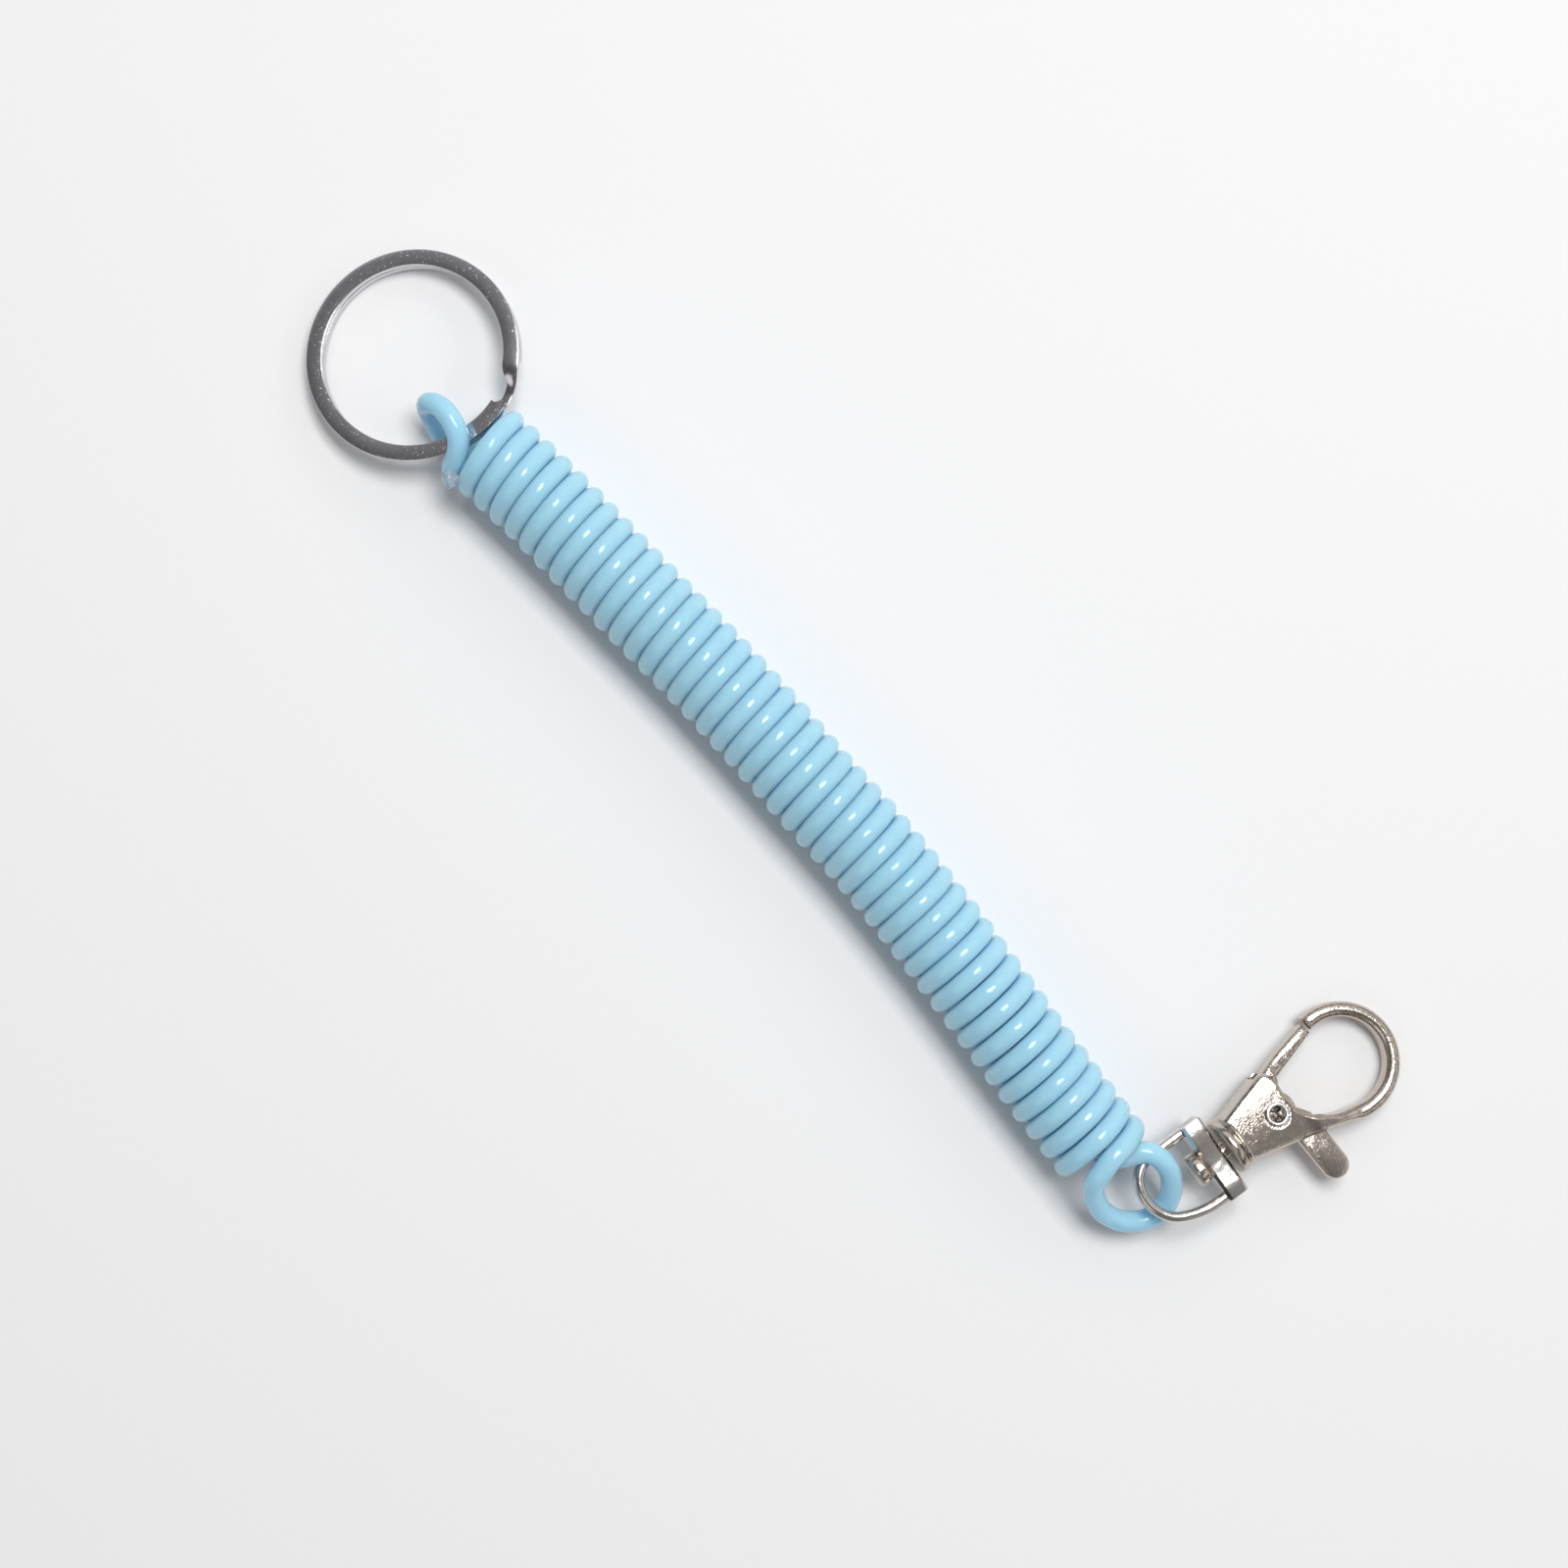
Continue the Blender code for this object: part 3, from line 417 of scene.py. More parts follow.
def casting(name, outline, edge, top, place, slices=()):
    """A casting: edge(x) gives (inset, drop) steps, top(x, y) its half depth, slices the grid lines."""
    outline = np.array(outline, float)
    x, y = outline.T
    clockwise = np.sum(x * np.roll(y, -1) - np.roll(x, -1) * y) < 0
    if clockwise:
        outline = outline[::-1]
    steps = [edge(x) for x in outline[:, 0]]
    loops = []
    for side in (-1, 1):
        order = range(len(steps[0]))
        for index in reversed(order) if side < 0 else order:
            flat = inset(outline, steps[0][index][0])
            drops = np.array([step[index][1] for step in steps])
            loops.append(np.column_stack([flat, side * (BLANK_HALF_DEPTH - drops)]))
    mesh = bpy.data.meshes.new(name)
    verts = [tuple(map(float, v)) for v in np.vstack(loops)]
    mesh.from_pydata(verts, [], loop_faces(len(loops), len(outline)))
    shape = bmesh.new()
    shape.from_mesh(mesh)
    for axis, spots in slices:
        normal = (1, 0, 0) if axis == "x" else (0, 1, 0)
        for spot in spots:
            bmesh.ops.bisect_plane(
                shape, geom=[*shape.verts, *shape.edges, *shape.faces], dist=GRID_TOLERANCE,
                plane_co=Vector(normal) * spot, plane_no=normal,
            )
    for vert in shape.verts:
        side = 1 if vert.co.z > 0 else -1
        vert.co.z += side * (top(vert.co.x, vert.co.y) - BLANK_HALF_DEPTH)
    shape.to_mesh(mesh)
    shape.free()
    return finish_piece(name, mesh, place, CASTING_CREASE)


# %% Turned shapes
TURNED_SIDES = 64


def turned_shape(profile, axis, segments=TURNED_SIDES):
    """A profile of (distance along the axis, radius) turned about x or z, with a flat face at each end."""
    bearings = np.arange(segments) * math.tau / segments
    verts = []
    for distance, radius in profile:
        for bearing in bearings:
            a, b = radius * math.cos(bearing), radius * math.sin(bearing)
            verts.append((distance, a, b) if axis == "x" else (a, b, distance))
    return verts, loop_faces(len(profile), segments)


# %% Cuts and joins
def cut_away(piece, *cutters):
    """Cut shapes out of a piece for good, and remove the cutters."""
    for cutter in cutters:
        change = piece.modifiers.new(cutter.name, "BOOLEAN")
        change.operation = "DIFFERENCE"
        change.solver = "EXACT"
        change.object = cutter
    seen = piece.evaluated_get(bpy.context.evaluated_depsgraph_get())
    mesh = bpy.data.meshes.new_from_object(seen)
    piece.modifiers.clear()
    piece.data = mesh
    smooth_over(mesh, CASTING_CREASE)
    for cutter in cutters:
        bpy.data.objects.remove(cutter, do_unlink=True)


def join_pieces(name, *pieces, crease=CASTING_CREASE):
    """Make one piece of several."""
    shape = bmesh.new()
    for piece in pieces:
        shape.from_mesh(piece.data)
    mesh = bpy.data.meshes.new(name)
    shape.to_mesh(mesh)
    shape.free()
    smooth_over(mesh, crease)
    for piece in pieces:
        bpy.data.objects.remove(piece, do_unlink=True)
    joined = bpy.data.objects.new(name, mesh)
    scene.collection.objects.link(joined)
    return joined


def block(name, low, high, place):
    """A plain block, used only as a cutter."""
    corners = [(x, y, z) for x, y, z in product(*zip(low, high))]
    faces = [(0, 1, 3, 2), (4, 6, 7, 5), (0, 4, 5, 1), (2, 3, 7, 6), (0, 2, 6, 4), (1, 5, 7, 3)]
    return add_piece(name, corners, faces, place)


# %% [markdown]
# ## The hook
# The hook's cheeks and bar are one outline: from the collar along the cheek to the shoulder, down
# round the eye, round the bar to the nose, and back along the outside. A chamfer runs round the
# cheeks, and fades into the fully rounded edge of the bar. The cheeks are slightly domed, which is
# why they mirror the lamp more on one side of the rivet than on the other. Between them lies the
# slot that the gate and the lever turn in.

# %% Outline of cheeks and bar
EYE_MIDDLE = (12.42, 0.08)
BAR_INSIDE, BAR_WIDTH, BAR_HALF_DEPTH = 6.42, 2.15, 1.75
NOSE_BEARING, HEEL_BEARING = 99.0, -101.5
CHEEK_HALF_DEPTH = 3.0
CHEEK_EDGE = (
    (-6.8, 3.75), (-6.3, 3.9), (-4.7, 4.36), (-2.85, 4.88), (-1.0, 5.36), (0.4, 5.74), (1.1, 5.86),
    (1.7, 5.72), (2.25, 5.2), (2.55, 4.5), (2.62, 3.7), (2.55, 2.5), (2.5, 1.3), (2.55, 0.2),
    (2.8, -0.95), (3.4, -2.1), (4.45, -3.35), (5.8, -4.35), (7.5, -5.3), (9.3, -5.8),
)
CHEEK_LOW_EDGE = (
    (8.9, -7.55), (6.8, -6.78), (4.5, -6.12), (0.9, -5.2), (-2.6, -4.28), (-6.0, -3.4), (-6.8, -3.2),
)
EDGE_STEPS, LOW_EDGE_STEPS = 3, 5

outside = BAR_INSIDE + BAR_WIDTH
heel = math.radians(HEEL_BEARING)
heel_point = (EYE_MIDDLE[0] + outside * math.cos(heel), outside * math.sin(heel))
hook_outline = [
    *smooth_line(CHEEK_EDGE, EDGE_STEPS),
    *arc_points(EYE_MIDDLE, BAR_INSIDE, HEEL_BEARING, NOSE_BEARING),
    *arc_points(EYE_MIDDLE, outside, NOSE_BEARING, HEEL_BEARING),
    *smooth_line((heel_point, *CHEEK_LOW_EDGE), LOW_EDGE_STEPS)[1:],
]
print(f"{len(hook_outline)} points round the hook, from {heel_point[0]:.1f} mm at the bar's heel")

# %% Edges and faces of the hook
EDGE_INSETS = (0.0, 0.03, 0.09, 0.18, 0.28, 0.38, 0.50, 0.68, 0.95)
CHAMFER_DROPS = (0.62, 0.48, 0.40, 0.30, 0.19, 0.08, 0.01, 0.0, 0.0)
BAR_EDGE_WIDTH, BAR_EDGE_DROP = 1.05, 0.95
CHEEK_END, BAR_START = 6.0, 11.0
TAPER_START, TAPER_END = 4.2, 10.5
DOME, DOME_REACH, DOME_END = 0.26, 4.6, 10.0
DOME_LINE = ((-6.0, 3.0, 9.0), (1.9, 2.5, -6.0))


def hook_edge(x):
    """Chamfered at the cheeks, rounded over at the bar."""
    share = float(ease(x, CHEEK_END, BAR_START))
    rounded = [
        BAR_EDGE_DROP * (1 - math.sqrt(1 - (1 - step / BAR_EDGE_WIDTH) ** 2)) for step in EDGE_INSETS
    ]
    return [(step, c + (r - c) * share) for step, c, r in zip(EDGE_INSETS, CHAMFER_DROPS, rounded)]


def hook_top(x, y):
    """Half the hook's depth: domed across the cheeks, and thinner from there to the bar."""
    taper = np.interp(x, (TAPER_START, TAPER_END), (CHEEK_HALF_DEPTH, BAR_HALF_DEPTH))
    middle = np.interp(x, *DOME_LINE)
    dome = DOME * ((y - middle) / DOME_REACH) ** 2 * (1 - float(ease(x, CHEEK_END, DOME_END)))
    return float(taper) - dome


print(f"half depth {hook_top(0, 0):.2f} mm at the rivet, {hook_top(BAR_START, 0):.2f} mm at the bar")

# %% Cast the cheeks and cut the slot
GRID_STEP = 0.6
GATE_SLOT = ((-4.6, -12, -1.65), (5.9, 3.45, 1.65))
ARM_OPENING = ((0.3, 3.4, -1.65), (5.9, 12, 1.65))
BORE_RADIUS, RECESS_RADIUS, RECESS_FLOOR = 1.3, 2.2, 2.5
CUT_REACH = 6

grid = (("x", np.arange(-6.3, 12.0, GRID_STEP)), ("y", np.arange(-7.8, 5.2, GRID_STEP)))
cheeks = casting("hook_cheeks", hook_outline, hook_edge, hook_top, hook_place, grid)
slots = [block("gate_slot", *GATE_SLOT, hook_place), block("arm_opening", *ARM_OPENING, hook_place)]
recesses = []
for side in (-1, 1):
    recess = [(side * RECESS_FLOOR, RECESS_RADIUS), (side * CUT_REACH, RECESS_RADIUS)]
    recesses.append(add_piece(f"recess_{side}", *turned_shape(recess, "z"), hook_place))
through = [(-CUT_REACH, BORE_RADIUS), (CUT_REACH, BORE_RADIUS)]
bore = add_piece("rivet_bore", *turned_shape(through, "z"), hook_place)
cut_away(cheeks, *slots, bore, *recesses)
print(f"cheeks and bar: {len(cheeks.data.polygons)} faces")

# %% Collar and stem
COLLAR_PROFILE = (
    (-14.3, 1.9), (-14.18, 2.25), (-13.95, 2.45), (-13.6, 2.5), (-12.85, 2.5), (-12.6, 2.42),
    (-12.45, 2.2), (-12.4, 1.2), (-8.5, 1.2), (-8.5, 3.75), (-8.42, 4.1), (-8.2, 4.3), (-7.9, 4.35),
    (-7.45, 4.33), (-7.25, 4.22), (-7.16, 4.0), (-7.08, 3.9), (-6.98, 3.95), (-6.9, 4.1), (-6.75, 4.22),
    (-6.5, 4.25), (-6.32, 4.15), (-6.25, 3.9), (-6.25, 3.3), (-5.9, 3.0), (-5.5, 2.7),
)
collar = add_piece("hook_collar", *turned_shape(COLLAR_PROFILE, "x"), hook_place)
hook = join_pieces("snap_hook", cheeks, collar)
hang(hook, "hook", "hook_nickel", "hook_body")

# %% [markdown]
# ## The rivet and the spring
# The rivet is a hollow one: its upper end is rolled outwards into a lip that sits in a shallow
# recess, and its hollow narrows to a point further down. Rings and cones could be put together for
# it, but one turned profile gives all of it with no seams. Inside the gate's hub, a turn and a
# quarter of wire round the rivet pushes the gate shut. One of its legs comes out of the hub towards
# the end of the slot, and the other lies in the lever.

# %% Turn the rivet
RIVET_SIDES = 48
RIVET_PROFILE = (
    (-3.05, 1.55), (-3.0, 1.8), (-2.85, 1.96), (-2.6, 2.0), (-2.6, 1.45), (2.6, 1.45),
    (2.62, 1.6), (2.7, 1.7), (2.84, 1.74), (3.0, 1.72), (3.09, 1.66), (3.14, 1.58), (3.15, 1.35),
    (3.12, 1.25), (3.04, 1.17), (2.9, 1.12), (2.65, 1.1), (1.2, 1.08), (0.3, 1.0), (-0.2, 0.6), (-0.5, 0.1),
)
rivet = add_piece("hollow_rivet", *turned_shape(RIVET_PROFILE, "z", RIVET_SIDES), hook_place)
hang(rivet, "hook", "rivet_steel", "gate_rivet")

# %% Wind the spring
SPRING_RADIUS, SPRING_WIRE, SPRING_PITCH, SPRING_TURNS = 2.1, 0.4, 0.85, 1.25
SPRING_BASE, SPRING_STEPS = -0.05, 40
FIRST_LEG, LAST_LEG = (-4.2, -2.1), (-2.0, -3.7)

spring_points = [(x, SPRING_RADIUS, SPRING_BASE) for x in FIRST_LEG]
for turn in np.linspace(0, SPRING_TURNS, SPRING_STEPS + 1):
    bearing = math.pi / 2 - math.tau * turn
    x, y = SPRING_RADIUS * math.cos(bearing), SPRING_RADIUS * math.sin(bearing)
    spring_points.append((x, y, SPRING_BASE + SPRING_PITCH * turn))
spring_top = spring_points[-1][2]
spring_points += [(SPRING_RADIUS, y, spring_top) for y in LAST_LEG]
spring_section = rounded_section(SPRING_WIRE, SPRING_WIRE, SPRING_WIRE / 2, steps=3)
spring = add_piece("torsion_spring", *swept(spring_points, spring_section), hook_place)
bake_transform(spring)
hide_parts("gate_spring")
print(f"{spring.name}: {len(spring_points)} loops, from {SPRING_BASE} to {spring_top:.2f} mm")

# %% [markdown]
# ## The gate and its thumb lever
# Gate arm, hub and lever are one casting that turns on the rivet. The arm is a bar with rounded
# edges and a low foot across it where it enters the cheeks. The lever is a flat tongue with an eased
# rim, and it thins a little towards its tip. The hub is a turned ring that joins them. The three run
# into each other and stay three closed shells in one piece. What overlaps is hidden inside, so they
# need no Boolean.

# %% Cast the arm
GATE_ARM = (
    (11.1, 6.1), (10.55, 7.85), (7.6, 7.2), (5.1, 6.66), (3.2, 6.1), (1.9, 5.6), (0.9, 4.6), (0.5, 3.3),
    (-1.0, 2.9), (0.0, 0.0), (2.2, 0.94), (2.7, 2.4), (3.5, 3.85), (4.92, 4.32), (6.9, 4.86), (9.0, 5.48),
)
ARM_HALF_DEPTH = 1.42
FOOT_START, FOOT_TOP, FOOT_FALL, FOOT_END, FOOT_RISE = 2.7, 2.8, 3.15, 3.45, 0.2
FOOT_SLICES = (FOOT_START, 2.75, FOOT_TOP, FOOT_FALL, 3.25, 3.35, FOOT_END)
ARM_EDGE = ((0.0, 0.70), (0.03, 0.50), (0.1, 0.33), (0.22, 0.19), (0.38, 0.08), (0.56, 0.02), (0.74, 0.0))


def arm_top(x, y):
    """Half the arm's depth, with its foot."""
    foot = float(ease(x, FOOT_START, FOOT_TOP) * (1 - ease(x, FOOT_FALL, FOOT_END)))
    return ARM_HALF_DEPTH + FOOT_RISE * foot


arm = casting("gate_arm", GATE_ARM, lambda x: ARM_EDGE, arm_top, hook_place, (("x", FOOT_SLICES),))
print(f"gate arm: {len(arm.data.polygons)} faces")

# %% Cast the lever
HUB_RADIUS = 3.3
LEVER_HALF, LEVER_REACH, LEVER_OFFSET, LEVER_LEAN = 2.03, 13.35, 2.3, math.radians(4.6)
LEVER_HALF_DEPTH, LEVER_FALL = 1.3, 0.05
LEVER_EDGE = ((0.0, 0.46), (0.04, 0.33), (0.11, 0.22), (0.2, 0.11), (0.28, 0.03), (0.36, 0.0))


def lever_top(x, y):
    """Half the lever's depth, thinner from the hub to the tip."""
    return LEVER_HALF_DEPTH - LEVER_FALL * max(-y - HUB_RADIUS, 0)


tip = -(LEVER_REACH - LEVER_HALF)
upright = [
    (LEVER_OFFSET - LEVER_HALF, 0), *arc_points((LEVER_OFFSET, tip), LEVER_HALF, 180, 360, step=7.5),
    (LEVER_OFFSET + LEVER_HALF, -HUB_RADIUS), (LEVER_OFFSET, 0),
]
cos_lean, sin_lean = math.cos(LEVER_LEAN), math.sin(LEVER_LEAN)
tongue = [(x * cos_lean - y * sin_lean, x * sin_lean + y * cos_lean) for x, y in upright]
lever = casting("thumb_lever", tongue, lambda x: LEVER_EDGE, lever_top, hook_place)
print(f"thumb lever: {len(lever.data.polygons)} faces")

# %% Turn the hub and join the gate
HUB_PROFILE = (
    (-1.35, 1.7), (-1.35, 3.1), (-1.27, 3.25), (-1.1, HUB_RADIUS), (1.1, HUB_RADIUS), (1.27, 3.25),
    (1.35, 3.1), (1.35, 1.7),
)
hub_verts, hub_faces = turned_shape(HUB_PROFILE, "z")
last = (len(HUB_PROFILE) - 1) * TURNED_SIDES
hub_faces = hub_faces[:-2]
for side in range(TURNED_SIDES):
    other = (side + 1) % TURNED_SIDES
    hub_faces.append((side, other, last + other, last + side))
hub = add_piece("gate_hub", hub_verts, hub_faces, hook_place)
gate = join_pieces("gate_and_lever", arm, lever, hub)
hang(gate, "gate", "hook_nickel", "gate_lever")

# %% [markdown]
# ## The swivel bail
# The bail is a crossbar with the stem running through it, and a wire bent into a D that the cord is
# tied to. The crossbar's long edges are chamfered. Its top isn't flat: it dips at its middle and
# climbs to one end, so that one bar mirrors light, dark and white one after the other. A few
# sections along it, each with its own crown, are enough for that.

# %% Bend the wire
BAIL_REACH, BAIL_HALF = 11.5, 5.45
BAIL_WIRE, BAIL_WIRE_ROUNDING, BAIL_STEPS = (1.5, 1.9), 0.62, 8
BAR_BLOCK, BAR_BLOCK_SPOT, BAR_CHAMFER = (3.15, 3.5), 11.2, 0.42
BAIL_CURVE = (
    (0.22, -1.0), (0.37, -0.985), (0.6, -0.87), (0.82, -0.64), (0.95, -0.28), (1.0, 0.2), (0.93, 0.68),
    (0.76, 0.95), (0.5, 1.0), (0.22, 1.0),
)
bend = [(BAIL_REACH * (1 - x), y * BAIL_HALF, 0) for x, y in BAIL_CURVE]
tails = [(BAIL_REACH + BAR_BLOCK[0] / 4, side * BAIL_HALF, 0) for side in (-1, 1)]
bail_line = smooth_line([tails[0], *bend, tails[1]], BAIL_STEPS)
wire_section = rounded_section(*BAIL_WIRE, BAIL_WIRE_ROUNDING, steps=5)
wire = add_piece("bail_wire", *swept(bail_line, wire_section), bail_place)
print(f"bail wire: {len(bail_line)} loops")

# %% Build the crossbar
BAR_CROWN = ((-6.2, 0.0), (-4.1, 0.0), (-0.5, -0.2), (2.2, -0.05), (5.2, 0.45), (6.2, 0.5))
BAR_SPOTS = (-2.4, -2.0, 0.3, 0.7, 3.9, 4.1)
END_STEPS, END_SHRINK = (0.06, 0.2), (0.91, 0.97)
CORNER_SHARES = (0.14, 0.05)
BAR_CREASE, BAIL_CREASE = 25.0, 28.0


def eased_corners(section):
    """A section with each corner cut by two short steps."""
    points = []
    neighbours = zip(np.roll(section, 1, axis=0), section, np.roll(section, -1, axis=0))
    for before, corner, after in neighbours:
        points += [corner + (before - corner) * share for share in CORNER_SHARES]
        points += [corner + (after - corner) * share for share in CORNER_SHARES[::-1]]
    return np.array(points)


end = BAIL_HALF + BAIL_WIRE[0] / 2
near, far = END_STEPS
spots = np.array((-end, -end + near, -end + far, *BAR_SPOTS, end - far, end - near, end))
shrink = np.ones(len(spots))
shrink[:2] = shrink[-2:][::-1] = END_SHRINK
crown = np.interp(-spots, *np.array(BAR_CROWN).T)
bar_section = eased_corners(rounded_section(*BAR_BLOCK, BAR_CHAMFER, steps=1))
bar_sections = bar_section[None] * shrink[:, None, None]
bar_sections[..., 1] += crown[:, None] * (bar_sections[..., 1] > 0)
bar_line = [(BAR_BLOCK_SPOT, -spot, 0) for spot in spots]
bar = add_piece("bail_crossbar", *swept(bar_line, bar_sections), bail_place, BAR_CREASE)
bail = join_pieces("swivel_bail_cast", bar, wire, crease=BAIL_CREASE)
hang(bail, "bail", "hook_nickel", "swivel_bail")

# %% [markdown]
# ## Clear glue
# Each cut end of the cord is fixed with a drop of clear glue. Glue that has set over an edge isn't
# round: it creeps into the corner and shrinks. So each drop is a ball of many small faces, dented by
# a few slow waves and then drawn out in one direction. The drop at the ring is moved 0.7 mm from the
# middle of its CAD bead, towards where the photographed one is.

# %% Set the drops of glue
LUMPS = ((0.10, (3.1, 1.7, 0.0), 0.0), (0.08, (0.0, 4.3, -2.2), 1.0), (0.05, (3.3, 0.0, 6.1), 2.0))
BALL_DIVISIONS = 5


def glue_drop(name, middle, reach, lean, body, node):
    """A lumpy drop: its reach along, across and up, and the direction that it is drawn out in."""
    shape = bmesh.new()
    bmesh.ops.create_icosphere(shape, subdivisions=BALL_DIVISIONS, radius=1.0)
    for vert in shape.verts:
        x, y, z = vert.co
        waves = [depth * math.sin(a * x + b * y + c * z + start) for depth, (a, b, c), start in LUMPS]
        vert.co *= 1 + sum(waves)
    mesh = bpy.data.meshes.new(name)
    shape.to_mesh(mesh)
    shape.free()
    turn = Vector((1, 0, 0)).rotation_difference(Vector(lean)).to_matrix().to_4x4()
    size = Matrix.Diagonal((*reach, 1.0))
    drop = finish_piece(name, mesh, Matrix.Translation(middle) @ turn @ size @ Matrix.Scale(MM, 4))
    hang(drop, body, "adhesive", node)
    return drop


RING_GLUE_SHIFT = Vector((-0.0005, 0.0004, 0.0003))
ring_glue_box, clasp_glue_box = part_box("ring_end_glue_bead"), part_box("clasp_end_glue_bead")
ring_glue_spot = (Vector(ring_glue_box[0]) + Vector(ring_glue_box[1])) / 2 + RING_GLUE_SHIFT
clasp_glue_spot = (Vector(clasp_glue_box[0]) + Vector(clasp_glue_box[1])) / 2
ring_glue = glue_drop(
    "ring_end_glue", ring_glue_spot, (1.6, 1.15, 1.3), (0.3, -0.4, 0.9), "cord", "ring_end_glue_bead",
)
clasp_glue = glue_drop(
    "clasp_end_glue", clasp_glue_spot, (1.3, 1.25, 1.5), (-0.9, -0.4, 0.1), "clasp_end",
    "clasp_end_glue_bead",
)

# %% [markdown]
# ## A small language for finishes
# A finish is a graph of nodes, which is slow to read when it is written node by node. The first
# class wraps one output of a node, so that sums and products of outputs are written as plain
# arithmetic and each operator adds its Math node. Any other node that is added comes from one method
# of the second class. The third adds what a material needs, such as noise, bumps and blended colours.

# %% Outputs that add and multiply
class Value:
    """One output in a graph of nodes."""

    def __init__(self, graph, socket):
        self.graph = graph
        self.socket = socket

    def _math(self, operation, *inputs):
        return self.graph.node("ShaderNodeMath", {"operation": operation}, *inputs)

    def __add__(self, other):
        return self._math("ADD", self, other)

    def __mul__(self, other):
        return self._math("MULTIPLY", self, other)

    __radd__ = __add__
    __rmul__ = __mul__


# %% Graphs of nodes
class Graph:
    """A tree of nodes, of a material or of the world."""

    def __init__(self, tree):
        self.tree = tree

    def node(self, kind, settings, *inputs, output=0, **named):
        """Add a node: its settings first, then its inputs in order or by name. Gives one output.

        An input in order that is None stays as the node has it.
        """
        made = self.tree.nodes.new(kind)
        for key, value in settings.items():
            if key == "stops":
                ramp = made.color_ramp
                while len(ramp.elements) < len(value):
                    ramp.elements.new(0.5)
                for element, (position, grey) in zip(ramp.elements, value):
                    element.position = position
                    element.color = (grey, grey, grey, 1)
            else:
                setattr(made, key, value)
        sockets = [(index, value) for index, value in enumerate(inputs) if value is not None]
        sockets += [(key.replace("_", " "), value) for key, value in named.items()]
        for key, value in sockets:
            self.connect(made.inputs[key], value)
        return Value(self, made.outputs[output])

    def connect(self, socket, value):
        """Link an output to a socket, or set the socket to a number or a colour."""
        if isinstance(value, Value):
            self.tree.links.new(value.socket, socket)
        else:
            socket.default_value = value

    def ramp(self, value, *stops):
        """Grey levels between stops of (value, level)."""
        return self.node("ShaderNodeValToRGB", {"stops": stops}, value)


# %% Finishes
class Finish(Graph):
    """A material whose Principled shader is fed by values."""

    def __init__(self, name, **constants):
        self.material = bpy.data.materials.new(name)
        self.material.use_nodes = True
        super().__init__(self.material.node_tree)
        self.shader = self.tree.nodes["Principled BSDF"]
        for socket, value in constants.items():
            self.shader.inputs[socket.replace("_", " ")].default_value = value

    def feed(self, **sockets):
        """Feed the shader's sockets by name."""
        for name, value in sockets.items():
            self.connect(self.shader.inputs[name.replace("_", " ")], value)

    def place(self):
        """Where a point is on its own piece, in millimetres, so that a pattern moves with the piece."""
        at_rest = self.node("ShaderNodeTexCoord", {}, output="Object")
        return self.node("ShaderNodeVectorMath", {"operation": "SCALE"}, at_rest, Scale=1 / MM)

    def noise(self, place, scale, detail=2.0, roughness=0.5, stretch=None):
        """Cloudy values, drawn out along the axes where the stretch is small."""
        if stretch:
            place = self.node("ShaderNodeMapping", {}, Vector=place, Scale=stretch)
        return self.node(
            "ShaderNodeTexNoise", {}, Vector=place, Scale=scale, Detail=detail, Roughness=roughness,
        )

    def blend_colours(self, factor, first, second):
        """From the first colour to the second. A Mix node's colours are its inputs 6 and 7."""
        skipped = [None] * 5
        return self.node("ShaderNodeMix", {"data_type": "RGBA"}, factor, *skipped, first, second, output=2)

    def bumps(self, height, distance):
        """A bumpy normal from a height."""
        return self.node(
            "ShaderNodeBump", {}, Strength=1.0, Distance=distance, Height=height, output="Normal",
        )


def coat_piece(piece, finish):
    """Give a piece its finish in place of any material that it has."""
    piece.data.materials.clear()
    piece.data.materials.append(finish.material)
    print(f"{piece.name}: {finish.material.name}, {len(finish.tree.nodes)} nodes")


# %% [markdown]
# ## Blue moulded plastic
# The cord is soft plastic: glossy and a little milky. Light goes a few millimetres into it, so the
# valleys between turns stay blue and don't turn black. A faint cloudiness in the colour and a very
# low bump break up the highlights. Both are laid out by each point's place at rest, which is stored
# on the mesh in metres, so that they stay on the cord when it stretches.

# %% Finish of the cord
cord_finish = Finish(
    "blue_cord", Subsurface_Weight=1.0, Subsurface_Radius=(0.5, 0.85, 1.0), Subsurface_Scale=0.0034, IOR=1.5,
)
rest_place = cord_finish.node("ShaderNodeAttribute", {"attribute_name": "rest_place"}, output="Vector")
clouds = cord_finish.noise(rest_place, 140.0, detail=3.0)
fine = cord_finish.noise(rest_place, 1500.0, detail=2.0)
cord_finish.feed(
    Base_Color=cord_finish.blend_colours(clouds, (0.37, 0.645, 0.84, 1), (0.41, 0.68, 0.86, 1)),
    Roughness=clouds * 0.04 + fine * 0.02 + 0.09,
    Normal=cord_finish.bumps(clouds * 0.8 + fine * 0.2, 0.00004),
)
coat_piece(cord, cord_finish)

# %% [markdown]
# ## Clear set glue
# Set glue is clear with a whitish skin. It lets light through, so it shows the blue behind it, and
# tiny bubbles make it cloudy in places.

# %% Finish of the glue
glue_finish = Finish("set_glue", Transmission_Weight=0.75, IOR=1.47, Coat_Weight=0.3)
skin = glue_finish.noise(glue_finish.place(), 1.6, detail=4.0)
glue_finish.feed(
    Base_Color=glue_finish.blend_colours(skin, (0.78, 0.86, 0.92, 1), (0.95, 0.97, 0.98, 1)),
    Roughness=skin * 0.35 + 0.02,
    Normal=glue_finish.bumps(skin, 0.00012),
)
for drop in (ring_glue, clasp_glue):
    coat_piece(drop, glue_finish)
